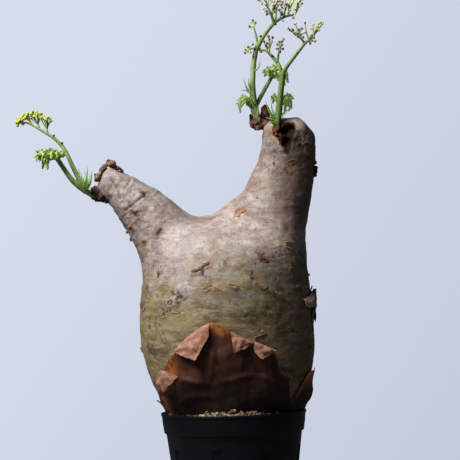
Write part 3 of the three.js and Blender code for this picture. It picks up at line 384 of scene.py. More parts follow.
def soil_material():
    graph = Graph.material("soil_bed")
    grain = graph.noise(360, 5, 0.7)
    earths = [(0.36, (0.02, 0.013, 0.009)), (0.52, (0.11, 0.07, 0.04)), (0.66, (0.34, 0.24, 0.15))]
    colour = graph.ramp(grain, earths)
    normal = graph.bump(grain, 0.0016, 1.0)
    return graph.surface(colour, 0.85 + grain * 0.1, normal, Specular_IOR_Level=0.2)


def pot_material():
    graph = Graph.material("pot_plastic")
    sheen = graph.noise(28, 4, 0.6, stretch=(1, 1, 0.5))
    peel = graph.noise(1700, 2, 0.5)
    dust = (graph.noise(120, 5, 0.7).step(0.55, 0.75) * sheen).clamped()
    colour = graph.mix(dust * 0.25, tuple(look().pot_black), (0.02, 0.02, 0.026))
    gloss = 0.3 + sheen * 0.2 + dust * 0.2
    normal = graph.bump(peel * 0.6 + sheen * 0.5, 0.0002, 0.4)
    return graph.surface(colour, gloss, normal, Specular_IOR_Level=0.22)


# Meshes
class Shape:
    """Points, faces, slots and tints of one piece while it is made, in millimetres."""

    def __init__(self):
        self.points = []
        self.faces = []
        self.slots = []
        self.marks = {}

    def add(self, points, faces, slot=0, **marks):
        first = sum(len(block) for block in self.points)
        points = np.asarray(points, float).reshape(-1, 3)
        self.points.append(points)
        self.faces.extend([tuple(first + i for i in face) for face in faces])
        self.slots.extend([slot] * len(faces))
        for name, value in marks.items():
            wanted = (len(points), 3) if name == "tint" else len(points)
            value = np.broadcast_to(np.asarray(value, float), wanted)
            self.marks.setdefault(name, []).append(value)

    def made(self, name, *materials, crease=None):
        """The finished object, with its marks carried at its points; crease is the angle in
        degrees from which an edge is shaded sharp."""
        mesh = bpy.data.meshes.new(name)
        points = np.concatenate(self.points) * MM
        mesh.from_pydata(points.tolist(), [], self.faces)
        for material in materials:
            mesh.materials.append(material)
        mesh.polygons.foreach_set("material_index", self.slots)
        mesh.polygons.foreach_set("use_smooth", [True] * len(self.faces))
        for mark, blocks in self.marks.items():
            put_mark(mesh, mark, np.concatenate(blocks))
        mesh.validate()
        mesh.update()
        if crease is not None:
            mesh.set_sharp_from_angle(angle=math.radians(crease))
        return new_object(name, mesh)


def new_object(name, data):
    made = bpy.data.objects.new(name, data)
    bpy.context.scene.collection.objects.link(made)
    return made


def apply_modifiers(made):
    depsgraph = bpy.context.evaluated_depsgraph_get()
    mesh = bpy.data.meshes.new_from_object(made.evaluated_get(depsgraph))
    made.modifiers.clear()
    made.data = mesh
    return mesh


def search_tree(mesh):
    """A mesh's faces in millimetres, ready for finding places on them."""
    points = [Vector(row) for row in mesh_points(mesh)]
    return BVHTree.FromPolygons(points, [tuple(p.vertices) for p in mesh.polygons])


def put_mark(mesh, name, values):
    if values.ndim == 2:
        layer = mesh.color_attributes.new(name, "FLOAT_COLOR", "POINT")
        rows = np.ones((len(values), 4))
        rows[:, :3] = values
        layer.data.foreach_set("color", rows.ravel())
    else:
        layer = mesh.attributes.new(name, "FLOAT", "POINT")
        layer.data.foreach_set("value", values)


def seat(piece, slot, *nodes):
    """Fastens a piece to the frame, in the place of the nodes that it stands for."""
    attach(piece, "root")
    if nodes:
        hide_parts(*nodes)


def unit(vector):
    vector = np.asarray(vector, float)
    return vector / np.linalg.norm(vector)


def outwards(azimuth):
    """The level direction at an azimuth in degrees: 0 is the front and 90 the right."""
    turn = math.radians(azimuth)
    return np.array((math.sin(turn), -math.cos(turn), 0))


def smooth_step(value, low, high):
    share = np.clip((value - low) / (high - low), 0, 1)
    return share * share * (3 - 2 * share)


def fractal(points, size, octaves, seed, stretch=(1, 1, 1)):
    """Fractal noise, about -1 to 1, at points in millimetres; size is its coarsest grain."""
    scaled = np.asarray(points) * np.asarray(stretch) / size + (seed, seed * 1.7, -seed)
    return np.array([noise.fractal(Vector(row), 1.0, 2.0, octaves) for row in scaled])


class Curve:
    """A smooth line through points in millimetres, read by its share of length, 0 to 1."""

    def __init__(self, points, fineness=12):
        rows = [np.array(point, float) for point in points]
        rows = [2 * rows[0] - rows[1], *rows, 2 * rows[-1] - rows[-2]]
        samples = []
        for a, b, c, d in zip(rows, rows[1:], rows[2:], rows[3:]):
            for t in np.arange(fineness) / fineness:
                bend = (2 * a - 5 * b + 4 * c - d) * t * t + (3 * b - a - 3 * c + d) * t**3
                samples.append(b + 0.5 * ((c - a) * t + bend))
        samples.append(rows[-2])
        self.line = np.array(samples)
        steps = np.linalg.norm(np.diff(self.line, axis=0), axis=1)
        self.along = np.concatenate([[0], np.cumsum(steps)])

    def at(self, share):
        where = np.clip(share, 0, 1) * self.along[-1]
        return np.array([np.interp(where, self.along, self.line[:, k]) for k in range(3)])

    def heading(self, share):
        return unit(self.at(min(share + 0.03, 1)) - self.at(max(share - 0.03, 0)))


def ring_faces(rings, sides):
    """Quads between stacked rings of points, closed round."""
    faces = []
    for ring in range(rings - 1):
        for side in range(sides):
            after = (side + 1) % sides
            low, high = ring * sides, (ring + 1) * sides
            faces.append((low + side, low + after, high + after, high + side))
    return faces


def round_faces(rings, sides, first, foot, tip):
    """Faces of a closed round form: stacked rings from the first point on, a foot and a tip."""
    faces = [tuple(first + i for i in face) for face in ring_faces(rings, sides)]
    last = first + (rings - 1) * sides
    for side in range(sides):
        after = (side + 1) % sides
        faces.append((foot, first + after, first + side))
        faces.append((tip, last + side, last + after))
    return faces


def tube(shape, curve, radii, sides, steps, slot, tint, swell=0.0):
    """A closed tapering tube along a curve, with rounded ends and a slight unevenness."""
    reach = np.linspace(0, 1, len(radii))
    across = unit(np.cross(curve.heading(0), (0.3, -0.9, 0.2)))
    points = []
    for share in np.linspace(0, 1, steps + 1):
        heading = curve.heading(share)
        across = unit(across - heading * np.dot(across, heading))
        other = np.cross(heading, across)
        radius = np.interp(share, reach, radii)
        for side in range(sides):
            turn = 2 * math.pi * side / sides
            ripple = 1 + swell * math.sin(3 * turn + 19 * share) * math.sin(31 * share + turn)
            out = across * math.cos(turn) + other * math.sin(turn)
            points.append(curve.at(share) + out * radius * ripple)
    faces = round_faces(steps + 1, sides, 0, len(points), len(points) + 1)
    points.append(curve.at(0) - curve.heading(0) * radii[0] * 0.4)
    points.append(curve.at(1) + curve.heading(1) * radii[-1] * 0.7)
    shape.add(points, faces, slot, tint=tint)


def plate(shape, grid, thickness, slot=0, **marks):
    """A closed thin plate round a grid of points, rows by columns."""
    grid = np.asarray(grid, float)
    rows, columns = grid.shape[:2]
    along = np.gradient(grid, axis=0)
    across = np.gradient(grid, axis=1)
    normal = np.cross(along, across)
    normal /= np.maximum(np.linalg.norm(normal, axis=2, keepdims=True), 1e-9)
    points = np.concatenate([grid + normal * thickness / 2, grid - normal * thickness / 2])
    back = rows * columns
    faces = []
    for i in range(rows - 1):
        for j in range(columns - 1):
            a, b = i * columns + j, (i + 1) * columns + j
            faces.append((a, b, b + 1, a + 1))
            faces.append((back + a, back + a + 1, back + b + 1, back + b))
    place = np.arange(back).reshape(rows, columns)
    edge = [place[:, 0], place[-1, 1:], place[-2::-1, -1], place[0, -2:0:-1]]
    edge = np.concatenate(edge).tolist()
    for a, b in zip(edge, edge[1:] + edge[:1]):
        faces.append((a, back + a, back + b, b))
    doubled = {}
    for name, value in marks.items():
        value = np.asarray(value, float)
        if value.shape[:2] == (rows, columns):
            value = value.reshape((rows * columns, *value.shape[2:]))
            value = np.concatenate([value, value])
        doubled[name] = value
    shape.add(points.reshape(-1, 3), faces, slot, **doubled)


def lathe(shape, outline, foot, direction, sides, slot, tint):
    """A closed turned form: an outline of (radius, height) rows set on a foot point."""
    heading = unit(direction)
    across = unit(np.cross(heading, (0.31, 0.83, 0.47)))
    other = np.cross(heading, across)
    points = [np.asarray(foot) + heading * outline[0][1]]
    for radius, height in outline[1:-1]:
        for side in range(sides):
            turn = 2 * math.pi * side / sides
            out = across * math.cos(turn) + other * math.sin(turn)
            points.append(foot + heading * height + out * radius)
    points.append(foot + heading * outline[-1][1])
    faces = round_faces(len(outline) - 2, sides, 1, 0, len(points) - 1)
    shape.add(points, faces, slot, tint=tint)


def ball_of(subdivisions):
    """Points and faces of a unit ball made of triangles."""
    soft = bmesh.new()
    bmesh.ops.create_icosphere(soft, subdivisions=subdivisions, radius=1.0)
    points = np.array([vertex.co for vertex in soft.verts])
    faces = [tuple(vertex.index for vertex in face.verts) for face in soft.faces]
    soft.free()
    return points, faces


GRANULE_BALL = ball_of(2)
CHIP_BALL = ball_of(3)


def chip(shape, place, size, tint, seed):
    """A rough angular crumb of dead bark."""
    ball, faces = CHIP_BALL
    lumps = 1 + 0.42 * fractal(ball, 0.9, 3, seed * 3.7)
    flats = np.round(ball * 1.9 + fractal(ball, 0.7, 2, seed)[:, None] * 0.3) / 1.9
    points = (ball * 0.55 + flats * 0.45) * lumps[:, None] * size
    spin = Matrix.Rotation(seed * 1.3, 3, (0.3, 1.0, 0.4))
    shade = 0.7 + 0.6 * np.clip(0.5 + fractal(ball, 0.5, 2, seed + 9), 0, 1)
    shape.add(points @ np.array(spin) + place, faces, tint=np.outer(shade, tint))


# The caudex: the frame's own solid, smoothed and then carved
def link_sums(edges, values, count):
    """For each point, the sum of the values of its neighbours along edges."""
    totals = np.empty_like(values)
    for k in range(3):
        column = values[:, k]
        totals[:, k] = np.bincount(edges[:, 0], column[edges[:, 1]], count)
        totals[:, k] += np.bincount(edges[:, 1], column[edges[:, 0]], count)
    return totals


def smoothed_copy(node, name, cell, rounds, keep_size=True):
    """A finely meshed copy of a frame node with its facets smoothed away; with keep_size each
    inward step is followed by one outward, so that it doesn't shrink."""
    made = new_object(name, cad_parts[node].data.copy())
    remesh = made.modifiers.new("Remesh", "REMESH")
    remesh.mode = "VOXEL"
    remesh.voxel_size = cell
    mesh = apply_modifiers(made)
    mesh.materials.clear()
    count = len(mesh.vertices)
    points = mesh_points(mesh)
    edges = np.empty(len(mesh.edges) * 2, int)
    mesh.edges.foreach_get("vertices", edges)
    edges = edges.reshape(-1, 2)
    valence = np.bincount(edges.ravel(), minlength=count)[:, None]
    for _ in range(rounds):
        for strength in (0.6, -0.615) if keep_size else (0.5,):
            points += strength * (link_sums(edges, points, count) / valence - points)
    set_points(mesh, points)
    return made


def vertex_rows(mesh, name):
    rows = np.empty(len(mesh.vertices) * 3)
    mesh.vertices.foreach_get(name, rows)
    return rows.reshape(-1, 3)


def mesh_points(mesh):
    return vertex_rows(mesh, "co") / MM


def set_points(mesh, points):
    mesh.vertices.foreach_set("co", (points * MM).ravel())
    mesh.polygons.foreach_set("use_smooth", [True] * len(mesh.polygons))
    mesh.update()


class Bark:
    """The smoothed surface of the caudex, on which scars are placed and flakes and paper laid."""

    tree = None

    @classmethod
    def cast(cls, start, direction):
        place, normal, _, _ = cls.tree.ray_cast(Vector(start), Vector(direction))
        return None if place is None else (np.array(place), np.array(normal))

    @classmethod
    def facing(cls, x, z):
        """The bark at a place seen from the front, or else the bark nearest to that place."""
        near = cls.tree.find_nearest(Vector((x, -20, z)))
        return cls.cast((x, -200, z), (0, 1, 0)) or (np.array(near[0]), np.array(near[1]))

    @classmethod
    def round_at(cls, azimuth, height):
        """The bark at an azimuth round the body and a height."""
        out = outwards(azimuth)
        return cls.cast((-2 + out[0] * 150, out[1] * 150, height), -out)


# Scars on the front, as x, z, radius, depth, and how dark and rusty each is
SCARS = [
    (-67.6, 279.8, 1.9, 1.2, 0.9, 0.2),
    (-70.2, 281.6, 1.2, 0.6, 0.7, 0.2),
    (-75.5, 264.1, 2.2, 1.3, 1, 0.4),
    (-73.2, 262.8, 1.5, 0.8, 0.6, 0.5),
    (-56.2, 248, 1.8, 1.1, 0.9, 0.6),
    (-54.6, 250.2, 1.2, 0.6, 0.6, 0.5),
    (-57.9, 243.4, 1.4, 0.8, 0.6, 0.3),
    (-68.4, 239.9, 1.8, 0.7, 0.2, 0.9),
    (-78.6, 252, 1.8, -0.8, 0.2, 0.8),
    (-71.4, 258, 1.5, 0.6, 0.4, 0.2),
    (-57.7, 213.4, 2, 1, 1, 0),
    (-51, 213.9, 1.5, -0.8, 0, 0),
    (-40, 194.3, 1.3, 0.6, 1, 0),
    (17.8, 212.4, 1.2, 0.6, 1, 0),
    (18.4, 207.6, 1.4, 0.6, 1, 0),
    (20.9, 219.5, 1, 0.5, 0.9, 0),
    (4.4, 188.2, 1.1, 0.5, 0.9, 0),
    (-3.3, 221.7, 1, 0.5, 0.6, 0.2),
    (48.7, 215, 1.5, -0.7, 0, 0.2),
    (39.8, 312, 1.8, 0.8, 0.7, 0.4),
    (39.2, 307.5, 1, 0.5, 0.6, 0),
    (39, 302.4, 1.2, 0.5, 1, 0),
    (50.2, 294.6, 1.1, 0.5, 0.9, 0),
    (59.2, 320.7, 2, 1, 1, 0),
    (26.2, 224.2, 2.6, 0.9, 0.3, 0.9),
    (12.4, 264.2, 2.2, 0.9, 0.1, 1),
    (8.3, 260.4, 2, 0.9, 0.3, 0.9),
    (34.2, 297, 1.3, -0.5, 0, 0.8),
    (-59.5, 196.5, 1.4, 0.5, 0.7, 0),
    (-61, 172, 1.9, 0.7, 0.5, 0),
    (-66.4, 178.8, 1.6, 0.5, 0.6, 0),
    (-21.1, 212, 1.9, 1, 0.8, 0.3),
    (-17.5, 206, 2.2, -0.9, 0, 0.7),
]
# Ringed eyes where twigs died, as x, z, radius and how pale the ring is
EYES = [(-48, 190.8, 6.9, 0.9), (50, 314, 3.6, 0), (-55.6, 217, 2.6, 0.4)]
# Cracks and raised lines, as their points, width, depth, darkness, rust and lip
CRACKS = [
    ([(-29, 214), (-23.3, 216.6), (-19.5, 219.2), (-16.5, 220)], 1, 1.3, 0.8, 0.9, 1.1),
    ([(-17.5, 220), (-13, 225.5), (-8.6, 230)], 0.6, 0.4, 0.3, 0.8, 0.5),
    ([(-83.5, 267), (-76.9, 271.7), (-71.1, 276.1), (-67, 279.2)], 0.9, 1, 0.85, 0.1, 0.4),
    ([(-85, 283), (-80, 289), (-77.5, 296)], 1, 0.7, 0.5, 0, 0.4),
    ([(-97.5, 299), (-93.7, 292.2), (-89, 284), (-87, 277)], 1, 0.7, 0.6, 0, 0.3),
    ([(-57.9, 173.2), (-54.7, 165.1), (-50.8, 157.1), (-47.7, 150.5)], 0.9, 0.4, 0.15, 0, 0.9),
    ([(-68, 157.5), (-61, 155.5), (-52, 158.5)], 0.9, 0.5, 0.5, 0, 0.4),
    ([(-66.2, 151.4), (-61.3, 144.2), (-52, 142), (-47, 144)], 0.8, 0.5, 0.6, 0, 0.3),
    ([(-59.5, 173), (-61, 163), (-64.5, 153)], 0.8, 0.4, 0.5, 0, 0.4),
    (
        [(19.9, 203.6), (25.4, 200.4), (31.7, 197.6), (38.1, 193.8), (47, 188.4)],
        1.2, -0.9, 0.15, 0.8, 0,
    ),
    ([(25, 222.8), (36.7, 224), (45, 226.3), (55, 225.4)], 0.9, 0.4, 0.2, 0.7, 0.3),
    ([(33, 232), (40, 233.8), (47, 234.4)], 1, -0.5, 0, 0.3, 0),
    ([(40.5, 297), (52, 296.5), (62, 300)], 0.9, 0.4, 0.4, 0.2, 0.4),
    ([(46, 303.6), (55, 305.6), (63, 305)], 0.7, 0.4, 0.3, 0, 0.5),
    ([(-18, 201), (-12, 199.8), (-8, 200.5)], 1, -0.8, 0, 0.8, 0),
    ([(-1.5, 203.5), (3.5, 201.5), (7, 200.5)], 1.1, -0.8, 0, 0.9, 0),
    ([(-51, 184.5), (-44, 181.5), (-38, 183)], 1, 0.4, 0.1, 0.6, 0.5),
]
# The edge between the upper bark and the green lower bark, as x and z
GREEN_EDGE = [
    (-80, 226), (-71, 218), (-56, 204), (-46, 200), (-37, 202), (-23, 206), (-11, 214),
    (5, 217), (21, 221), (37, 221), (57, 218), (80, 214),
]
# Patches on the front that are yellow, grey-green, ochre and brown, as x, z and reach
YELLOW_PATCHES = [
    (-68, 225, 7), (-70, 231, 6), (-56, 205, 9), (-60, 193, 8), (-45, 172, 12), (32, 309, 5),
    (46, 242, 8), (-30, 178, 9), (30, 184, 7), (48, 262, 9), (30, 282, 6), (40, 236, 7),
]
COOL_PATCHES = [
    (-30, 206, 12), (-8, 214, 12), (10, 210, 14), (32, 214, 14), (50, 208, 13), (28, 200, 10),
    (12, 194, 9), (-15, 188, 10), (60, 190, 9), (50, 299, 8), (36, 313, 5), (44, 284, 6),
]
OCHRE_PATCHES = [
    (-12, 256, 8), (40, 268, 7), (30, 231, 8), (4, 214, 7), (-12, 208, 7), (52, 222, 8),
    (-64, 214, 5), (-62, 182, 6), (-90, 284, 6),
]
BROWN_PATCHES = [
    (24, 184, 10), (40, 170, 12), (52, 205, 8), (60, 226, 8), (8, 178, 8), (-72, 190, 5),
    (46, 250, 7),
]
# The dead pocket's outline on the front of the right arm's tip, as x and z
POCKET = [
    (38.5, 326), (39.5, 331), (43, 335), (48, 338), (54, 337), (58.5, 332), (57, 326), (54.6, 320),
    (54, 314), (51.5, 309), (48, 309.5), (46.2, 315), (43, 321),
]
# Patches of small pits and scabs, as x, z, reach and how many
SPECKLED = [
    (26, 182, 6, 46), (33, 224, 7, 34), (-46, 196, 8, 30), (10, 188, 12, 26), (-66, 236, 6, 16),
    (40, 300, 7, 22), (-10, 240, 26, 30), (30, 260, 14, 26), (-85, 275, 10, 20), (44, 172, 8, 24),
]
# Swellings of the bark, as a place, a reach and a height
SWELLINGS = [
    ((37.5, -5, 331), 6.5, 4.6),
    ((43.5, -2, 338), 6, 2.6),
    ((61, 0, 340), 6, 2.2),
    ((72.5, 0, 326), 6, 0.8),
    ((-97, -10, 301), 5, 1),
    ((-103, -8, 290), 5, 0.8),
]
LEFT_ARM_AXIS = unit((-0.79, -0.05, 0.61))
LEFT_ARM_START = (-45, -4, 236)
BARK_ROUNDS = 80
BLEMISHES = 150


def line_distance(points, line):
    """How far points are from a line of points."""
    nearest = np.full(len(points), 1e9)
    for start, end in zip(line, line[1:]):
        span = end - start
        share = np.clip((points - start) @ span / (span @ span), 0, 1)
        nearest = np.minimum(nearest, np.linalg.norm(points - start - share[:, None] * span, axis=1))
    return nearest


def hump(distance, width):
    return np.exp(-((distance / width) ** 2))


def ragged_spot(points, spot, radius, raggedness, grain, octaves, seed):
    """Which points are within four radii of a spot, and how far they are from it, unevenly."""
    away = np.linalg.norm(points - spot, axis=1)
    near = away < radius * 4
    return near, away[near] * (1 + raggedness * fractal(points[near], grain, octaves, seed))


def carve_bark(points, normals):
    """Moves the bark's points for its wrinkles, scars and cracks, and says how dark, rusty,
    pale, green, yellow, grey and rotten it is at each, and how much brown patches and painted
    shade darken it; the pale mark also holds painted light on the top of the right arm's tip."""
    count = len(points)
    names = ("dark", "rust", "pale", "green", "yellow", "grey", "stain", "rot")
    marks = {name: np.zeros(count) for name in names}
    rise = 0.45 * fractal(points, 24, 3, 3.1)
    for place, reach, height in SWELLINGS:
        rise += height * hump(np.linalg.norm(points - place, axis=1), reach)
    along_arm = (points - LEFT_ARM_START) @ LEFT_ARM_AXIS
    on_left = smooth_step(along_arm, 8, 30) * smooth_step(-points[:, 0], 40, 62)
    upper = smooth_step(points[:, 2], 215, 245)
    level = points.copy()
    level[:, 2] *= 3.4
    folds = fractal(level, 11, 3, 8.2)
    rings = points + np.outer(along_arm * 2.6, LEFT_ARM_AXIS)
    ring_folds = fractal(rings, 10, 3, 5.5)
    rise += 0.22 * (folds * (1 - on_left) + 2.0 * ring_folds * on_left)
    rise += 0.2 * fractal(points * (1, 1, 1.3), 4.2, 3, 1.3) * (0.6 + 0.4 * upper)
    for x, z, radius, depth, dark, rust in SCARS:
        spot = Bark.facing(x, z)[0]
        near, ragged = ragged_spot(points, spot, radius, 0.9, radius * 1.1, 4, x)
        rise[near] -= 0.7 * depth * hump(ragged, radius)
        rise[near] += 0.35 * abs(depth) * hump(ragged - radius * 1.5, radius * 0.45)
        marks["dark"][near] += dark * smooth_step(-ragged, -radius * 1.25, -radius * 0.7)
        marks["rust"][near] += rust * smooth_step(-ragged, -radius * 1.9, -radius)
    for x, z, radius, ring in EYES:
        spot = Bark.facing(x, z)[0]
        away = points - spot
        slant = away @ unit((-0.66, 0, 0.75))
        away = np.sqrt((away**2).sum(axis=1) + 1.5 * slant**2)
        near = away < radius * 3.4
        spots = points[near]
        away = away[near] * (1 + 0.55 * fractal(spots, radius * 0.9, 3, z))
        lines = np.cos(away / radius * 11 + 3.2 * fractal(spots, radius * 0.8, 3, z + 4))
        rise[near] += hump(away, radius * 1.3)
        rise[near] += 0.35 * lines * hump(away, radius * 1.2)
        marks["dark"][near] += np.clip(-2.8 * lines - 0.7, 0, 1) * hump(away, radius * 1.25)
        halo = np.clip(fractal(spots, radius * 0.5, 3, z), 0, 1)
        marks["dark"][near] += 1.5 * hump(away - radius * 1.5, radius * 0.5) * halo
        marks["pale"][near] += ring * hump(away, radius * 1.2) * np.clip(lines + 0.3, 0, 1)
    for places, width, depth, dark, rust, lip in CRACKS:
        line = np.array([Bark.facing(x, z)[0] for x, z in places])
        reach = np.linalg.norm(line[-1] - line[0]) + width * 6
        near = np.linalg.norm(points - line.mean(axis=0), axis=1) < reach
        ragged = line_distance(points[near], line)
        ragged *= 1 + 0.5 * fractal(points[near], 3.0, 2, places[0][0])
        below = points[near, 2] < np.interp(points[near, 0], *zip(*sorted(places)))
        rise[near] -= depth * hump(ragged, width)
        rise[near] += lip * hump(ragged - width * 1.6, width * 0.8) * np.where(below, 1.0, 0.35)
        marks["dark"][near] += dark * hump(ragged, width * 0.75)
        marks["rust"][near] += rust * hump(ragged - width * 1.2, width * 1.1)
    carve_pocket(points, rise, marks)
    scatter_blemishes(points, rise, marks)
    edge = np.interp(points[:, 0], *zip(*GREEN_EDGE))
    edge = edge + 5 * smooth_step(points[:, 1], -10, 20)
    marks["green"] = 0.5 + (edge - points[:, 2]) / 34 + 0.4 * fractal(points, 16, 3, 4.4)
    kinds = {
        "yellow": (YELLOW_PATCHES, 1.0),
        "grey": (COOL_PATCHES, 1.0),
        "rust": (OCHRE_PATCHES, 0.42),
        "stain": (BROWN_PATCHES, 0.65),
    }
    mottle = np.clip(0.6 + 1.1 * fractal(points, 9, 4, 6.6), 0, 1.2)
    for name, (patches, strength) in kinds.items():
        for x, z, radius in patches:
            away = np.linalg.norm(points - Bark.facing(x, z)[0], axis=1)
            marks[name] += strength * hump(away, radius) * mottle
    behind = smooth_step(points[:, 1], 5, 30) * smooth_step(-abs(points[:, 2] - 205), -22, -8)
    marks["grey"] += behind * np.clip(0.5 + fractal(points, 18, 3, 2.5), 0, 1)
    return points + normals * (rise * look().bark_relief)[:, None], marks


def depth_inside(points, outline):
    """How far points are inside an outline seen from the front, less than 0 outside it."""
    flat = points * (1, 0, 1)
    corners = [np.array((x, 0.0, z)) for x, z in outline]
    inside = np.zeros(len(points), bool)
    for (x0, _, z0), (x1, _, z1) in zip(corners, corners[1:] + corners[:1]):
        crosses = (flat[:, 2] < z0) != (flat[:, 2] < z1)
        if z1 != z0:
            inside ^= crosses & (flat[:, 0] < x0 + (flat[:, 2] - z0) * (x1 - x0) / (z1 - z0))
    away = line_distance(flat, corners + corners[:1])
    return np.where(inside, away, -away)


def carve_pocket(points, rise, marks):
    """The dead pocket on the right arm's tip, rotten and hollow with a rusty left rim, the
    rough scar beside it, painted shade on the right half of the right arm and on the lower right
    of the body, and painted light on the top of the tip."""
    x, y, z = points.T
    near = np.flatnonzero((x > 20) & (y < 12) & (z > 285))
    spots = points[near]
    across, _, up = spots.T
    depth = depth_inside(spots, POCKET) + 1.3 * fractal(spots, 7, 3, 2.2)
    inside = smooth_step(depth, -0.3, 1.4)
    fibres = fractal(spots, 3.2, 3, 6.1, (1, 1, 0.5))
    rise[near] -= inside * (0.3 + 0.5 * fibres)
    marks["dark"][near] += 0.75 * hump(depth + 1.2, 1.7) * smooth_step(across, 49, 55)
    marks["rot"][near] += inside
    marks["dark"][near] += inside * np.clip(-0.9 * fibres, 0, 0.55)
    marks["dark"][near] += 0.8 * inside * smooth_step(across, 45, 50)
    left = smooth_step(46 - across, -1.5, 3.5) * smooth_step(up, 316, 322)
    marks["rust"][near] += left * hump(depth - 0.6, 2.4) * np.clip(0.75 + 0.8 * fibres, 0, 1)
    scar = np.linalg.norm((spots - (61, -13, 322)) / (1, 1.3, 1.3), axis=1)
    patch = smooth_step(-scar, -14, -5) * (1 - inside) * smooth_step(-up, -336, -329)
    scales = fractal(spots, 5.5, 3, 9.0)
    marks["dark"][near] += 0.6 * patch * np.clip(0.3 + scales, 0, 1)
    marks["pale"][near] += 0.3 * patch * np.clip(-2.2 * scales - 0.4, 0, 1)
    rise[near] += 0.55 * patch * fractal(spots, 2.6, 3, 4.0)
    # Painted shade: the right side of the right arm and of the body below it is darkened, less so on
    # the top of the tip.
    flank = smooth_step(x, 24, 66) * smooth_step(z, 232, 262)
    top = smooth_step(z, 327, 334) * smooth_step(-x, -69, -62)
    flank *= 1 - 0.92 * top
    marks["stain"] += flank * np.clip(1.0 + 0.35 * fractal(points, 17, 3, 3.3), 0, 1)
    # Painted shade also on the right half of the right arm.
    on_right = smooth_step(x, 5, 22) * smooth_step(z, 245, 290)
    on_right *= 1 - 0.8 * top
    marks["stain"] += on_right * np.clip(0.34 + 0.3 * fractal(points, 9, 3, 6.3), 0, 1)
    # Painted light: the top of the tip, right of the stem and outside the pocket, is made paler.
    lit_top = top * smooth_step(x, 46, 52)
    lit_top[near] *= 1 - inside
    marks["pale"] += 0.5 * lit_top * np.clip(0.7 + fractal(points, 7, 3, 1.9), 0, 1)
    # Painted shade on the lower right of the body.
    low_right = smooth_step(x, 26, 62) * smooth_step(-z, -258, -212)
    marks["stain"] += 0.55 * low_right


def scatter_blemishes(points, rise, marks):
    """Small pits and scabs all round, so that the sides and the back are as worn as the front."""
    draw = random.Random(77)
    for x, z, reach, pits in SPECKLED:
        for _ in range(pits):
            spot = Bark.facing(x + draw.gauss(0, reach), z + draw.gauss(0, reach * 0.7))[0]
            radius = draw.uniform(0.5, 1.1)
            near, ragged = ragged_spot(points, spot, radius, 0.5, radius, 2, spot[0])
            rise[near] -= draw.uniform(-0.4, 0.4) * hump(ragged, radius)
            kind = draw.choice(("dark", "rust", "rust", "dark"))
            marks[kind][near] += draw.uniform(0.4, 0.9) * hump(ragged, radius * 0.9)
    for _ in range(BLEMISHES):
        azimuth = draw.uniform(60, 300)
        found = Bark.round_at(azimuth, draw.uniform(118, 245))
        radius = draw.uniform(0.8, 2.6)
        depth = draw.uniform(-0.7, 0.9)
        kind = draw.choice(("dark", "rust", "pale"))
        if found is None:
            continue
        near, ragged = ragged_spot(points, found[0], radius, 0.4, radius, 2, azimuth)
        rise[near] -= depth * hump(ragged, radius)
        marks[kind][near] += 0.8 * hump(ragged, radius * 0.9)


class MakeCaudex(bpy.types.Operator):
    """Make the caudex with its scars, cracks and wrinkles"""

    bl_idname = "plant.make_caudex"
    bl_label = "Make caudex"

    def execute(self, context):
        cell, rounds = look().bark_cell, BARK_ROUNDS
        made = smoothed_copy("caudex", "caudex_bark", cell, rounds)
        Bark.tree = search_tree(made.data)
        points, marks = carve_bark(mesh_points(made.data), vertex_rows(made.data, "normal"))
        set_points(made.data, points)
        for name, values in marks.items():
            put_mark(made.data, name, np.clip(values, 0, 1))
        made.data.materials.append(bark_material())
        seat(made, "caudex_bark", "caudex")
        return {"FINISHED"}


# The torn edge of the papery sheet, as azimuth and height
TORN_EDGE = [
    (-180, 128), (-172, 133), (-166, 139), (-159, 134), (-152, 121), (-145, 124), (-138, 131),
    (-130, 120), (-124, 114), (-117, 118), (-110, 120), (-103, 111), (-97, 108), (-90, 110),
    (-85, 111), (-76, 108), (-69, 113), (-63, 124), (-59.5, 130), (-55.5, 134), (-50, 138.5),
    (-46, 145), (-41, 149), (-37, 154.5), (-29, 163), (-21, 170), (-15, 174.5), (-12, 174.8),
    (-6, 171.3), (1.6, 166.5), (9, 162), (16.5, 157.8), (18.4, 157.9), (25.6, 154.3),
    (34, 150.5), (37.4, 141), (40, 134), (47, 128), (49, 120), (52, 112), (57, 109.5),
    (64, 121), (70.5, 130.5), (76, 132), (82, 131.5), (88, 133.5), (94, 132), (100, 129), (106, 124),
    (112, 119), (119, 128), (126, 136), (133, 131), (140, 125), (147, 133), (154, 139),
    (161, 130), (168, 122), (174, 126), (180, 128),
]
# Flaps folded over the torn edge: fold line, then free edge, as azimuth, height and lift
FLAPS = [
    (
        [(-37.5, 153.5, 1.6), (-29, 162.5, 2.2), (-21, 169.5, 2.4), (-13.2, 173.8, 2)],
        [(-37, 150.5, 3), (-30, 147.5, 4.6), (-22.5, 144.6, 6), (-13.6, 163.6, 3.2)],
    ),
    (
        [(1.4, 166.8, 1.4), (6, 164, 2), (11, 160.8, 2), (16.8, 157.4, 1.2)],
        [(3.1, 149.6, 3.2), (7, 151.4, 3.6), (12, 153.2, 3), (16.4, 156.4, 1.8)],
    ),
    (
        [(18.2, 158, 1.4), (23, 156, 2.2), (28, 153.6, 2.2), (34.2, 150.6, 1.4)],
        [(17.4, 152.2, 2.4), (20.5, 145.8, 4.4), (23.6, 143.8, 4.8), (33.6, 149.9, 2)],
    ),
    (
        [(-53.2, 137, 1.4), (-48, 136, 2), (-44, 134.2, 2), (-39.6, 132, 1.2)],
        [(-61.2, 129.6, 2), (-60, 124.5, 3), (-56.6, 118.8, 3.6), (-44, 127, 2.4)],
    ),
    (
        [(123, 132, 1.4), (127, 135.5, 2), (132, 132, 2), (137, 128, 1.4)],
        [(124, 127, 3), (128, 123, 4.4), (133, 121, 4.4), (137, 125, 2.4)],
    ),
    (
        [(-169, 136, 1.4), (-165, 139, 2.2), (-160, 135, 2), (-155, 127, 1.4)],
        [(-168, 130, 3), (-164, 125, 4.6), (-159, 121, 4.6), (-155, 123, 2.4)],
    ),
]
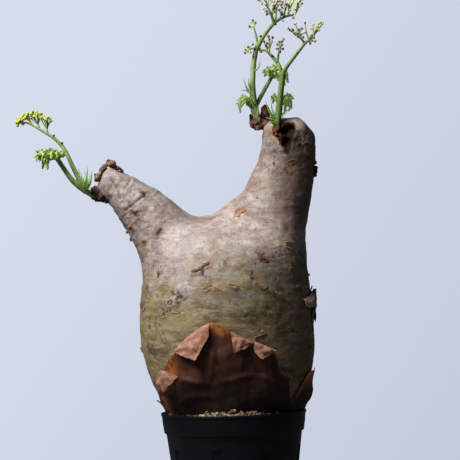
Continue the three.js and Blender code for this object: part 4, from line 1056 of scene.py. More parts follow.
# Creases of the sheet, as azimuth and height along each, with its height and width
CREASES = [
    ([(-36, 129), (-28, 126.5), (-20, 126), (-12, 124)], 1.5, 2.2),
    ([(-8, 127), (0, 127.5), (9, 130.5), (18, 131.8), (27, 129.5), (37, 124), (45, 120)], 1.3, 2.6),
    ([(-44, 112), (-30, 116), (-16, 115)], 1, 2.4),
    ([(-12, 172), (-11, 155), (-13, 140), (-16, 128)], 0.7, 1.6),
    ([(17, 156), (21, 144), (30, 134), (42, 128)], 0.8, 2),
    ([(-50, 138), (-44, 128), (-41, 116)], 0.9, 1.8),
    ([(80, 131), (84, 118), (90, 108)], 1, 2.2),
]
SHEET_FOOT = 99
SHEET_ROWS = 52
SHEET_RADIUS = 64
SHEET_THICKNESS = 0.4
FLAP_ROWS = 26
FLAP_LIFT = 2.3


def crumple(across, up, seed, waves, finest):
    """Sharp straight creases crossing at random, as in crushed paper, in millimetres."""
    draw = random.Random(seed)
    total = 0.0
    for _ in range(waves):
        turn = draw.uniform(0, math.pi)
        length = draw.uniform(finest, finest * 3)
        phase = (across * math.cos(turn) + up * math.sin(turn)) / length + draw.random()
        total = total + (4 * np.abs(phase - np.floor(phase + 0.5)) - 1) * length * 0.03
    return total


def round_place(azimuth, height, standoff):
    """A place that stands off the bark by a distance, at an azimuth and a height."""
    return Bark.round_at(azimuth, height)[0] + outwards(azimuth) * standoff


def sheet_grid(step):
    """The papery sheet: its points, their azimuths and heights, and for each how strongly light
    glows through it, how much of its lit back shows and how much of its pale edge."""
    grid, flat, glows, backs, rims = [], [], [], [], []
    for azimuth in np.arange(-180, 180.01, step):
        spin = math.radians(azimuth)
        wobble = noise.fractal(Vector((math.sin(spin) * 17, math.cos(spin) * 17, 2)), 0.7, 2, 4)
        top = np.interp(azimuth, *zip(*TORN_EDGE)) + wobble
        right = smooth_step(34 - abs(azimuth - 84), 0, 24)
        rows = []
        for share in np.linspace(0, 1, SHEET_ROWS) ** 0.8:
            height = SHEET_FOOT + (top - SHEET_FOOT) * share
            wave = noise.noise(Vector((math.sin(spin) * 4, math.cos(spin) * 4, height / 55)))
            off = 1.5 + 0.7 * wave + (1.5 + 0.5 * wave) * share**4 + 2.4 * right * (1 - share)
            rows.append(round_place(azimuth, height, max(off, 0.5)))
            flat.append((azimuth, height))
            edge = smooth_step(share, 0.9, 1.0) * (1 - right)
            lit = smooth_step(16 - abs(azimuth + 52), 0, 12) * smooth_step(share, 0.35, 0.75)
            peak = smooth_step(14 - abs(azimuth + 14), 0, 8) * smooth_step(share, 0.86, 0.95)
            low = smooth_step(15 - abs(azimuth + 71), 0, 9) * 0.7
            glows.append(max(edge * 0.7, peak, lit * 0.85, right * 0.12, low))
            backs.append(right * smooth_step(share, 0.5, 0.95) * 0.5)
            rims.append(0.8 * right * smooth_step(share, 0.86, 0.97))
        grid.append(rows)
    grid = np.array(grid)
    glow, back, rim = (np.reshape(values, grid.shape[:2]) for values in (glows, backs, rims))
    return grid, np.array(flat), glow, back, rim


def crease_sheet(grid, flat):
    """Pushes the sheet out along its creases."""
    spots = np.column_stack([flat[:, 0], flat[:, 1], np.zeros(len(flat))])
    rise = np.zeros(len(flat))
    for places, height, width in CREASES:
        line = np.array([(azimuth, z, 0) for azimuth, z in places], float)
        rise += height * hump(line_distance(spots, line), width)
    rise += crumple(flat[:, 0] * math.radians(SHEET_RADIUS), flat[:, 1], 5, 7, 14) * 0.45
    rise += 0.3 * fractal(spots, 8, 4, 7.7)
    rise = np.maximum(rise, -0.6)
    turn = np.radians(flat[:, 0])
    out = np.column_stack([np.sin(turn), -np.cos(turn), np.zeros(len(turn))])
    return grid + (out * rise[:, None]).reshape(grid.shape)


def flap_grid(fold, free, bulge=0.9, standoff=FLAP_LIFT):
    """A folded flap between its fold line and its free edge, arched and crumpled."""
    shares = np.linspace(0, 1, FLAP_ROWS)
    knots = np.linspace(0, 1, len(fold))
    grid = []
    for across in shares:
        start = [np.interp(across, knots, [row[k] for row in fold]) for k in range(3)]
        end = [np.interp(across, knots, [row[k] for row in free]) for k in range(3)]
        row = []
        for down in shares:
            azimuth, height, lift = np.array(start) * (1 - down) + np.array(end) * down
            arch = bulge * math.sin(math.pi * min(1, down * 1.3)) * (1 - 0.5 * down)
            creases = crumple(azimuth * math.radians(SHEET_RADIUS), height, 9, 7, 5) * 0.9
            ragged = 0.9 * noise.noise(Vector((azimuth / 3, height / 4, 3))) * down**3
            lean = lift + arch + creases * smooth_step(down, 0, 0.3)
            row.append(round_place(azimuth, height - ragged, lean + standoff))
        grid.append(row)
    return np.array(grid)


class MakePaperBark(bpy.types.Operator):
    """Make the torn papery sheet round the foot, with its folded flaps"""

    bl_idname = "plant.make_paper_bark"
    bl_label = "Make papery bark"

    def execute(self, context):
        shape = Shape()
        grid, flat, glow, back, rim = sheet_grid(1.0)
        grid = crease_sheet(grid, flat)
        heights = flat[:, 1].reshape(grid.shape[:2])
        # Painted shade: the sheet darkens towards its foot, less where light glows through it.
        stain = 0.85 * smooth_step(-heights, -142, -112) * (1 - 0.8 * np.clip(glow, 0, 1))
        plate(shape, grid, SHEET_THICKNESS, inner=rim, glow=glow, stain=stain, back=back)
        for fold, free in FLAPS:
            folded = flap_grid(fold, free)
            plate(shape, folded, SHEET_THICKNESS, inner=1.0, glow=0.0, stain=0.0, back=0.0)
        made = shape.made("torn_paper_bark", paper_material(), crease=40)
        seat(made, "paper_bark", "papery_bark")
        return {"FINISHED"}


# Loose flakes on the front, as x, z, width, height, turn in degrees, lift and tint
FLAKE_TAN = (0.46, 0.31, 0.21)
FLAKE_RUST = (0.31, 0.145, 0.07)
FLAKE_GREY = (0.3, 0.25, 0.21)
FLAKE_DARK = (0.12, 0.06, 0.04)
FLAKES = [
    (10.5, 263, 8.5, 4.2, 32, 1.8, FLAKE_RUST),
    (7.4, 259.8, 4.5, 2, 10, 1.2, FLAKE_TAN),
    (48.5, 233.8, 8, 5, -12, 2.2, FLAKE_TAN),
    (52.9, 302.6, 7, 3.6, 24, 1.5, FLAKE_RUST),
    (48.8, 215, 3.4, 2.6, 0, 1.2, FLAKE_TAN),
    (-17, 201.5, 8, 3.6, 18, 1.3, FLAKE_TAN),
    (-12, 201.2, 5, 2.8, -30, 1.2, FLAKE_TAN),
    (2.5, 202.4, 8, 3, -12, 1.2, FLAKE_TAN),
    (-24.8, 215.4, 5.5, 1.7, 24, 1.3, FLAKE_RUST),
    (-20.4, 218.4, 4.6, 1.6, 38, 1.2, FLAKE_TAN),
    (-16.8, 220.6, 3, 1.2, 20, 1, FLAKE_RUST),
    (27, 222.6, 7.5, 2.4, -8, 1.2, FLAKE_RUST),
    (23, 162, 9, 2.4, 18, 1, FLAKE_RUST),
    (26, 165, 5, 2, -20, 0.9, FLAKE_TAN),
    (33, 197.6, 5, 2.4, -25, 1, FLAKE_TAN),
    (24, 201.4, 4, 1.8, -20, 0.9, FLAKE_TAN),
    (28.6, 199.8, 3.6, 2, 25, 1, FLAKE_RUST),
    (37, 195.2, 4.4, 2.2, -40, 1.1, FLAKE_TAN),
    (21, 203.4, 2.4, 1.6, 10, 0.8, FLAKE_RUST),
    (41, 193, 6, 2.6, -30, 1.1, FLAKE_RUST),
    (-78.8, 252.4, 4, 3.6, 40, 1.6, FLAKE_RUST),
    (-69, 240, 2.6, 4.4, 0, 1, FLAKE_RUST),
    (-44, 183.5, 7, 2.6, -10, 0.9, FLAKE_TAN),
    (-52.5, 180.5, 6, 2.4, 15, 0.9, FLAKE_TAN),
]
# Curled bark on the right flank, as azimuth, height, width, height of the piece, turn and lift
SIDE_CURLS = [
    (82, 178, 10, 13, -10, 2.2, FLAKE_DARK),
    (78, 176, 3.2, 10, 4, 2.4, FLAKE_GREY),
    (86, 198, 7, 6, 15, 1.8, FLAKE_TAN),
    (74, 202, 9, 5, 20, 1.2, FLAKE_RUST),
    (66, 197, 10, 6, 30, 0.8, FLAKE_RUST),
]
# The scoop that stands out of them, as its upper and lower edges: azimuth, height and lift
SCOOP = (
    [(63, 190.5, 0.3), (69, 192.5, 0.6), (76, 194.5, 0.9), (83, 196, 0.8)],
    [(64.5, 184.5, 1.4), (70, 183, 2.8), (77, 185.5, 3.8), (84, 191, 3)],
)
# The scoop's pale pink is made paler still as painted light, since it stands on the shaded side.
SCOOP_LIT_TINT = (0.52, 0.37, 0.31)
# The dark slab behind the scoop, which steps out of the outline, in the same way
SLAB = (
    [(84, 198.5, 2), (89, 199, 4.4), (95, 198, 4.6), (101, 196.5, 2.2)],
    [(85, 175, 0.8), (90, 171.5, 1.6), (95, 173, 1.6), (101, 176, 0.8)],
)
SLAB_TINT = (0.09, 0.048, 0.038)
NUB_TINT = (0.075, 0.045, 0.035)
SIDE_FLAKES = 46
# Crumbs of dark bark that stand out of the outline, as a place and a size; they sit on the bark
NUBS = [
    ((76, -2, 303), (1.3, 2, 0.7)),
    ((77, -2, 298.5), (1.5, 2.4, 1.9)),
    ((77, -2, 295.4), (1.7, 2.2, 2.4)),
    ((76, -2, 292.2), (1.2, 2, 1.8)),
    ((-84, -2, 250), (1, 1.6, 1.2)),
    ((-80, -2, 244.6), (1.1, 1.6, 1.4)),
    ((-86, -2, 255), (0.7, 1.2, 0.9)),
    ((73, -4, 211), (0.9, 1.2, 1)),
]


def flake(shape, centre, normal, size, turn, lift, tint, seed, fineness=9):
    """A thin chip of bark laid on the surface and lifted towards its upper edge."""
    sideways = unit(np.cross((0, 0, 1), normal))
    upwards = np.cross(normal, sideways)
    spin = math.radians(turn)
    right = sideways * math.cos(spin) + upwards * math.sin(spin)
    up = upwards * math.cos(spin) - sideways * math.sin(spin)
    grid = []
    for i in np.linspace(-0.5, 0.5, fineness):
        row = []
        for j in np.linspace(-0.5, 0.5, fineness):
            taper = 1 - 1.1 * abs(i) ** 2.2
            ragged = 1 + 0.35 * noise.noise(Vector((i * 4 + seed, j * 4, seed)))
            spot = centre + right * i * size[0] * ragged + up * j * size[1] * taper * ragged
            hit = Bark.tree.find_nearest(Vector(spot))
            base, out = np.array(hit[0]), np.array(hit[1])
            curl = lift * (j + 0.5) ** 2 * (1 - 0.5 * abs(i)) + 0.35 * noise.noise(Vector(spot / 2.1))
            row.append(base + out * (0.25 + max(curl, 0.0)))
        grid.append(row)
    plate(shape, grid, 0.35, tint=tint)


class MakeFlakes(bpy.types.Operator):
    """Make the loose flakes, and the curled bark on the right flank"""

    bl_idname = "plant.make_flakes"
    bl_label = "Make flakes"

    def execute(self, context):
        shape = Shape()
        for index, (x, z, wide, high, turn, lift, tint) in enumerate(FLAKES):
            flake(shape, *Bark.facing(x, z), (wide, high), turn, lift, tint, index)
        draw = random.Random(12)
        for index in range(SIDE_FLAKES):
            azimuth = draw.uniform(50, 310)
            found = Bark.round_at(azimuth, draw.uniform(125, 240))
            size = (draw.uniform(2.5, 8), draw.uniform(1.6, 4.5))
            tint = draw.choice((FLAKE_TAN, FLAKE_RUST, FLAKE_GREY, FLAKE_GREY))
            turn = draw.uniform(-40, 40)
            lift = draw.uniform(0.5, 1.5)
            if found is not None:
                flake(shape, *found, size, turn, lift, tint, index + 40)
        for index, (place, size) in enumerate(NUBS):
            near, out, _, _ = Bark.tree.find_nearest(Vector(place))
            chip(shape, np.array(near + out * size[0] * 0.4), size, NUB_TINT, index + 3)
        seat(shape.made("bark_flakes", flake_material(), crease=32), "caudex_bark")
        curls = Shape()
        for index, (azimuth, height, wide, high, turn, lift, tint) in enumerate(SIDE_CURLS):
            found = Bark.round_at(azimuth, height)
            flake(curls, *found, (wide, high), turn, lift, tint, index + 7, 14)
        plate(curls, flap_grid(*SCOOP, bulge=1.5, standoff=0.4), 0.6, tint=SCOOP_LIT_TINT)
        plate(curls, flap_grid(*SLAB, bulge=0.3, standoff=0.3), 0.8, tint=SLAB_TINT)
        seat(curls.made("curled_bark", flake_material(), crease=35), "paper_bark", "bark_curl")
        return {"FINISHED"}


# Dead tissue: for each node the roughness of its surface, its tint, and the tints of its parts
# as a place, a reach and a colour
PINK = (0.3, 0.19, 0.15)
MAROON = (0.085, 0.014, 0.015)
UMBER = (0.07, 0.04, 0.028)
AMBER = (0.42, 0.18, 0.07)
RUST = (0.27, 0.1, 0.04)
DEAD_CELL = 0.00045
DEAD_TISSUE = {
    "left_stub": (0.9, UMBER, [((-105, -14, 283), 4, PINK)]),
    "left_old_bark": (1, PINK, [
        ((-107, -11, 296), 4.5, AMBER), ((-97, -9, 309), 3.5, UMBER),
    ]),
    "right_stub": (0.8, (0.2, 0.09, 0.075), [
        ((37, 2, 347), 9.5, MAROON), ((20, -6, 338), 4, (0.3, 0.17, 0.15)),
        ((28, -4, 344), 4, (0.2, 0.19, 0.08)),
    ]),
    "right_old_bark": (0.9, (0.13, 0.05, 0.032), [((40, -16, 328), 2.4, (0.42, 0.19, 0.07))]),
}
# Loose crumbs that fill the gaps between the dead tissue and the bark, as a place, a size, a tint
CRUMBS = {
    "left_old_bark": [
        ((-106.5, -10, 297), (2.8, 3, 1.9), AMBER),
        ((-104.2, -9, 293.8), (3.2, 3.4, 2.6), PINK),
        ((-101.8, -9, 298.2), (3.4, 3.2, 2.8), PINK),
        ((-99.2, -9, 301.6), (3.4, 3, 2.8), UMBER),
        ((-96.6, -9, 304.6), (3.2, 3, 2.6), PINK),
        ((-97.2, -9, 308.6), (2.2, 2.4, 2), UMBER),
        ((-92.8, -9, 304.2), (3, 3.2, 2), PINK),
        ((-89.6, -9, 302.6), (2.8, 3, 1.5), PINK),
        ((-86.6, -9, 300.8), (2.2, 2.4, 1.2), UMBER),
        ((-103.5, -12, 289), (3, 3, 3), PINK),
    ],
    "left_stub": [
        ((-101.5, -12, 281), (2.6, 3, 2.2), PINK),
        ((-99.5, -12, 276), (2.8, 3, 2), UMBER),
        ((-108, -12, 277), (1.6, 2, 1.6), UMBER),
    ],
    "right_stub": [
        ((33.4, 1, 349.5), (1.3, 1.6, 2.6), MAROON),
        ((36.8, 1, 345.5), (2, 2, 2.8), MAROON),
        ((34.2, 0, 352), (1, 1.2, 1.9), MAROON),
        ((32, -2, 343.5), (1.8, 2, 2.2), MAROON),
        ((21.5, -5, 342.4), (1.1, 1.4, 2.2), MAROON),
        ((22.6, -6, 337), (1.8, 2.2, 2.4), PINK),
        ((27, -7, 333.5), (2.4, 2.4, 1.8), (0.2, 0.11, 0.09)),
        ((39, 0, 341), (1.8, 2, 2.4), MAROON),
    ],
    "right_old_bark": [
        ((39.6, -15, 328.5), (1.4, 1.4, 1.2), AMBER),
        ((41.8, -17, 326), (1.2, 1.2, 1.3), RUST),
        ((43.4, -18, 322.5), (0.8, 1, 1.6), RUST),
        ((44.8, -18, 318.6), (0.7, 0.8, 1.5), MAROON),
        ((50.4, -17, 313.4), (1.2, 1.2, 1), RUST),
    ],
}


class MakeDeadTissue(bpy.types.Operator):
    """Make the crumbled dead tissue at the ends of the arms"""

    bl_idname = "plant.make_dead_tissue"
    bl_label = "Make dead tissue"

    def execute(self, context):
        material = dead_material()
        for node, (roughness, base, patches) in DEAD_TISSUE.items():
            made = smoothed_copy(node, node + "_crumbled", DEAD_CELL, 5, keep_size=False)
            points, normals = mesh_points(made.data), vertex_rows(made.data, "normal")
            ridges = 1 - 2 * np.abs(fractal(points, 6.5, 4, 5.0))
            rise = roughness * (0.5 * ridges + 0.7 * fractal(points, 3.1, 4, 2.0)) - 0.1
            set_points(made.data, points + normals * rise[:, None])
            tint = np.tile(np.array(base, float), (len(points), 1))
            for place, reach, colour in patches:
                share = hump(np.linalg.norm(points - place, axis=1), reach)[:, None]
                tint = tint * (1 - share) + np.array(colour) * share
            # Painted shade and light: the tint is darker in the hollows and lighter on the bumps, by
            # the same noise that raises them.
            tint *= (0.6 + 0.8 * np.clip(0.5 + fractal(points, 3.1, 4, 2.0), 0, 1))[:, None]
            put_mark(made.data, "tint", tint)
            made.data.materials.append(material)
            seat(made, "dead_tissue", node)
            crumbs = Shape()
            draw = random.Random(3)
            for index, (place, size, colour) in enumerate(CRUMBS[node]):
                chip(crumbs, np.array(place), np.array(size) * 0.85, colour, index + 1)
                for extra in range(3):
                    aside = [draw.uniform(-0.8, 0.8) * reach for reach in size]
                    small = np.array(size) * draw.uniform(0.3, 0.55)
                    shade = np.array(colour) * draw.uniform(0.6, 1.4)
                    chip(crumbs, np.array(place) + aside, small, shade, index * 5 + extra)
            seat(crumbs.made(node + "_crumbs", material, crease=30), "dead_tissue")
        return {"FINISHED"}


# Tints of the shoots: the first five multiply the greens of stems and leaves, the rest are buds'.
# SUNLIT and SHADED, and the brighter tint of the stem behind, are painted light and shade.
FRESH = (1, 1, 1)
SUNLIT = (1.6, 1.5, 1.9)
SHADED = (0.7, 0.78, 0.66)
LIT_BEHIND = (1.25, 1.25, 1.45)
DEEP = (0.66, 0.71, 0.58)
YELLOW = (0.6, 0.58, 0.09)
LIME = (0.38, 0.5, 0.09)
TAN = (0.36, 0.28, 0.15)
BROWN = (0.19, 0.115, 0.07)
PLUM = (0.16, 0.075, 0.09)
ORANGE = (0.62, 0.4, 0.13)

# A shoot's plan. Stems: points and radii. Leaves: points, width and side. Bracts: points and
# radius. Heads: where one leaves its stem, its buds' tints and places. Knots: place and size.
# Fringe: how many leaflets a leaf has, and their length. Tones: brightness of the parts, and
# shaded: that of single leaves that stand in shade, by their number, raised as painted light.
# Cores: place and size of a leaf mass's inside.
LEFT_SHOOT = {
    "stems": [
        ([(-106, -10, 279), (-112.5, -11, 282.5), (-116.5, -12, 285.5), (-120, -12, 291),
          (-126.5, -13, 305), (-133, -14, 319.5), (-141, -15, 328.5), (-152, -15, 336),
          (-161.5, -15, 341.5), (-168, -15, 342.5)], [2.2, 2.1, 1.9, 1.6, 1.35, 1, 0.7]),
        ([(-108, -11, 279.5), (-113.5, -13.5, 282.5), (-119.5, -16, 286.5), (-127.5, -20, 294.5),
          (-136.5, -22, 308.5), (-140, -22, 313.5)], [2.2, 2.2, 2, 1.9]),
    ],
    # The lower stem's tint is brightened as painted light.
    "stem_tints": [SUNLIT, (1.35, 1.4, 1.4)],
    "leaves": [
        ([(-140, -22, 313), (-144, -24, 316.8), (-151, -25, 316.5), (-155, -26, 314), (-155, -26, 309)],
          9, (0, 1, 0.1)),
        ([(-141, -23.5, 312.5), (-145.5, -28, 316), (-149, -30, 314), (-150, -30, 309),
          (-150, -30, 302.5)], 8, (0.6, 0.8, 0)),
        ([(-139.5, -24, 312.5), (-143, -30, 316), (-145, -33, 313.5), (-145.5, -33, 308),
          (-145, -33, 301.5)], 7.5, (1, 0.3, 0)),
        ([(-140, -20, 313), (-146, -16, 317.2), (-152, -13, 316.5), (-154.5, -12, 314.2)],
          9, (0.3, 1, 0)),
        ([(-138.5, -21, 312), (-138.5, -18, 317), (-135.5, -16, 316.5), (-134, -16, 313)],
          9, (0, 1, 0)),
        ([(-138.5, -23, 312.5), (-138, -30, 316.2), (-136.5, -33, 314.8), (-138, -33, 309)],
          8, (1, 0.2, 0)),
        ([(-140, -24, 313), (-147, -29, 316.8), (-153.5, -31, 315.8), (-156, -31, 312)],
          8, (0.3, 0.9, 0.2)),
        ([(-139, -24, 313), (-141, -31, 317), (-140.5, -35, 315), (-141.5, -35, 310)], 8, (1, 0.1, 0)),
        ([(-140, -23, 313.8), (-142, -27, 317.8), (-147, -31, 316.5), (-148.5, -33, 313)],
          8, (0.8, 0.5, 0)),
        ([(-138, -22, 312), (-134.5, -25, 316), (-132, -27, 315), (-132, -27, 311.5)], 7, (0.2, 1, 0)),
        ([(-140, -22, 313.8), (-145, -21, 318), (-150, -20, 317.5), (-152.5, -20, 315.2)],
          8, (0, 1, 0.2)),
        ([(-139, -22, 313.8), (-140, -20, 318), (-141.5, -18, 317.5), (-143, -17, 315.2)],
          8, (1, 0.6, 0)),
        ([(-140, -24, 312), (-144, -30, 314.2), (-147, -33, 311), (-147.5, -33, 307)],
          7, (0.9, 0.3, 0)),
    ],
    "bracts": [
        ([(-117.5, -13, 286), (-120.5, -18, 292.5), (-121, -20, 303)], 1.9),
        ([(-116.5, -13, 286), (-115, -21, 293), (-113, -24, 304.5)], 1.8),
        ([(-115.5, -13, 286), (-111.5, -24, 291), (-109.5, -27, 300.5)], 1.7),
        ([(-118.5, -12, 286.5), (-123, -8, 292.5), (-125, -6, 301)], 1.6),
        ([(-116.5, -14, 285.5), (-116.5, -22, 288.5), (-117.5, -26, 296)], 1.9),
        ([(-117, -15, 286), (-118.5, -22, 292), (-119, -24, 300)], 1.3),
        ([(-115.5, -14, 285), (-113.5, -22, 289), (-111.5, -25, 297)], 1.4),
        ([(-117, -14, 286), (-119.5, -20, 290), (-123, -23, 298)], 1.3),
        ([(-116, -14, 286), (-114.5, -20, 292), (-116, -22, 301.5)], 1.2),
    ],
    "heads": [
        ((-146.5, -15, 332.6), (LIME, YELLOW), [(-144.4, -13, 344.4), (-146.8, -17, 343.3),
          (-148.6, -15, 344.8), (-150, -13, 346.2), (-151.4, -17, 345.1), (-145.8, -16, 345.5),
          (-143.5, -15, 342.6)]),
        ((-152.5, -15, 336.4), (YELLOW, LIME), [(-151.9, -14, 349.1), (-153.7, -17, 348),
          (-155.6, -15, 349.8), (-157.5, -13, 349.4), (-159.3, -17, 348.4), (-156.5, -17, 346.6),
          (-153.3, -13, 346.6), (-160.3, -14, 346.6), (-157.9, -16, 350.5)]),
        ((-159, -15, 340.2), (LIME, YELLOW), [(-161.2, -13, 346.2), (-163, -16, 347.6),
          (-165.8, -14, 348.4), (-164, -17, 345.8), (-162.1, -15, 349.1)]),
        ((-165.5, -15, 342.2), (YELLOW, LIME), [(-166.8, -13, 342.2), (-168.6, -16, 343.7),
          (-170, -14, 345.1), (-170.9, -16, 343), (-170.5, -15, 340.8), (-167.7, -14, 346.2),
          (-165.8, -16, 344.8)]),
    ],
    "knots": [(-141, -16.6, 330.6, 1), (-134.6, -15.4, 324.2, 1.1)],
    "fringe": (12, 3),
    "tones": {"leaf": 1.5, "core": 1.5, "bract": 1.6, "stalk": 1.3, "bud": 1.2},
    "shaded": {},
    "cores": [((-147, -23, 313.6), (8.4, 8, 4.4)), ((-139, -22, 313.6), (4.6, 6, 3.8))],
    "bud_size": 1.4,
}

TALL_SHOOT = {
    "stems": [
        ([(28, -2, 334), (26.2, -3, 343), (24.2, -4, 356.5), (23.7, -5, 370), (25, -5, 385),
          (27.2, -5, 397), (29.5, -5, 403)], [3.5, 2.9, 2.35, 2.15, 1.95]),
        ([(29.3, -5, 401.5), (35.5, -6, 411.5), (43.5, -7, 420.5)], [1.8, 1.6, 1.4]),
        ([(29, -4, 403), (28, -3, 410), (25.5, -1, 421)], [1, 0.75, 0.55]),
        ([(27.5, -6, 399), (24, -8, 399), (20.5, -9, 397.5)], [0.9, 0.7, 0.5]),
        ([(42.8, -7, 419.5), (41, -9, 426.5), (36.8, -12, 435)], [1.3, 1, 0.7]),
        ([(42.8, -7, 419.8), (48, -4, 423.5), (54, -1, 426.5), (60.5, 2, 428.5), (64.5, 4, 435)],
          [1.3, 1, 0.7]),
        ([(43, -7, 420), (45, 2, 426.5), (46.5, 12, 438)], [1.1, 0.8, 0.7]),
        ([(25, -2.5, 349), (28.5, 0, 356.5), (32.5, 4, 364), (39.5, 8, 376), (41.5, 8, 378.5)],
          [1.8, 1.8, 1.7, 1.6]),
    ],
    "stem_tints": [FRESH, FRESH, SHADED, SHADED, FRESH, FRESH, SHADED, LIT_BEHIND],
    "leaves": [
        ([(24, -5, 352.5), (19, -7, 358.5), (14, -9, 358), (11, -10, 353), (12.5, -10, 345.5)],
          8, (0.1, 1, 0.1)),
        ([(24, -2.5, 354.5), (19.5, 0, 360), (15, 2, 361), (10.5, 3, 358)], 6, (0, 1, 0.2)),
        ([(24, -5.5, 350), (19.5, -10, 355.5), (15, -12, 355), (12.5, -13, 350)], 7, (0.2, 1, 0.2)),
        ([(40, 7, 377), (38, 6, 384.5), (34.5, 4, 383), (33.5, 3, 377)], 8.5, (0.2, 1, 0)),
        ([(41, 7, 378), (43, 4, 385.5), (46.5, 2, 384.5), (48, 1, 379)], 8, (0.2, 1, 0)),
        ([(41.5, 9, 377), (48.5, 13, 384.5), (53.5, 15, 382.5), (54.5, 15, 372.5)], 9, (-0.4, 1, 0)),
        ([(40.5, 9, 376.5), (41, 14, 384.5), (44, 18, 383), (46, 19, 375)], 8, (1, 0.2, 0)),
        ([(40, 6, 377), (38.5, 1, 384), (37, -1, 382), (37.5, -1, 377)], 7.5, (1, 0.1, 0)),
        ([(41, 8, 378), (41, 3, 386), (42.5, 0, 384.5), (43, -1, 378)], 7.5, (1, 0.2, 0)),
        ([(42, 9, 377), (47, 14, 381), (51, 17, 377), (52, 18, 370.5)], 7, (-0.4, 1, 0)),
    ],
    "bracts": [
        ([(24, -5, 361.5), (18.5, -7, 367), (16.5, -8, 374.5)], 1.3),
        ([(24, -5, 363), (20.8, -8, 368), (20.3, -9, 375)], 1.2),
        ([(23.5, -6, 360.5), (18, -8, 364.5), (13.5, -9, 364)], 1),
        ([(26, -6, 380.5), (29.5, -8, 384.5), (30.7, -9, 391.5)], 0.9),
        ([(25.5, -4, 341), (22.8, -6, 348), (20.5, -7, 354)], 2.4),
        ([(26.5, -4, 341), (27.4, -5, 347), (27.8, -4, 353)], 2),
        ([(25, -6, 352), (22, -10, 357), (21, -12, 363)], 1.2),
    ],
    "heads": [
        ((39, -10.5, 431), (ORANGE, YELLOW, TAN), [(31, -12, 438.5), (33, -12, 435.5), (35, -11, 431.5),
          (36.5, -12, 440), (39.5, -11, 441), (34, -14, 440), (41.5, -10, 437.5)]),
        ((41.5, -9, 425.5), (BROWN, PLUM, TAN), [(37.5, -11, 427), (43.5, -9, 429), (45, -8, 431.5),
          (43, -10, 434), (46, -7, 438), (48, -6, 440), (36.5, -12, 429)]),
        ((48, -4, 423.5), (BROWN, PLUM, BROWN), [(49.5, -5, 428.5), (48, -6, 430.5), (50.8, -4, 426.8),
          (52.5, -3, 432.5), (50, -3, 433)]),
        ((52, -2, 425.5), (TAN, BROWN, ORANGE), [(51, -3, 438), (53.5, -4, 440), (54.5, -1, 436)]),
        ((55, -1, 427), (LIME, YELLOW, ORANGE), [(55.5, -1, 435.5), (56.5, 0, 431.5), (58.5, 0, 438),
          (57.5, 1, 440.5), (60, 2, 440)]),
        ((60.5, 2, 428.5), (BROWN, ORANGE, LIME), [(59.5, 0, 425), (61, 2, 432.5), (62.5, 1, 438),
          (65, 3, 440), (66.8, 3, 437), (64, 2, 434.5), (67, 4, 441)]),
        ((46.5, 12, 437), (TAN, YELLOW, BROWN), [(44.5, 13, 441), (48.5, 11, 441), (47, 14, 438),
          (50, 13, 438.5)]),
        ((26, -1.5, 418.5), (PLUM, BROWN, TAN), [(25.5, -1, 423.5), (23, -2, 418.5), (27.5, -1, 421.5),
          (24.2, -1, 421.2)]),
        ((21.5, -9, 397.8), (BROWN, PLUM, TAN), [(20.5, -9, 397), (22.5, -9.5, 396), (24.5, -8, 402.5),
          (19.2, -9, 398.5), (21, -9, 400), (18.3, -9, 396)]),
    ],
    "knots": [
        (31.5, -6.6, 409.3, 1.1), (44.2, -8.4, 418.4, 1), (50.5, -6.2, 421.5, 0.8),
        (30.5, -6.5, 397.5, 1.1),
    ],
    "fringe": (12, 2.4),
    "tones": {"leaf": 0.9, "core": 2.5, "bract": 1.3, "stalk": 2.5, "bud": 1.7},
    "shaded": {3: 1.9, 4: 1.9, 5: 3.3, 6: 3.3, 7: 1.9, 8: 1.9, 9: 3.3},
    "cores": [((40.5, 8, 381), (4.6, 5, 3.2)), ((49.5, 14, 379), (3.2, 3.4, 3.8))],
    "bud_size": 1.05,
}

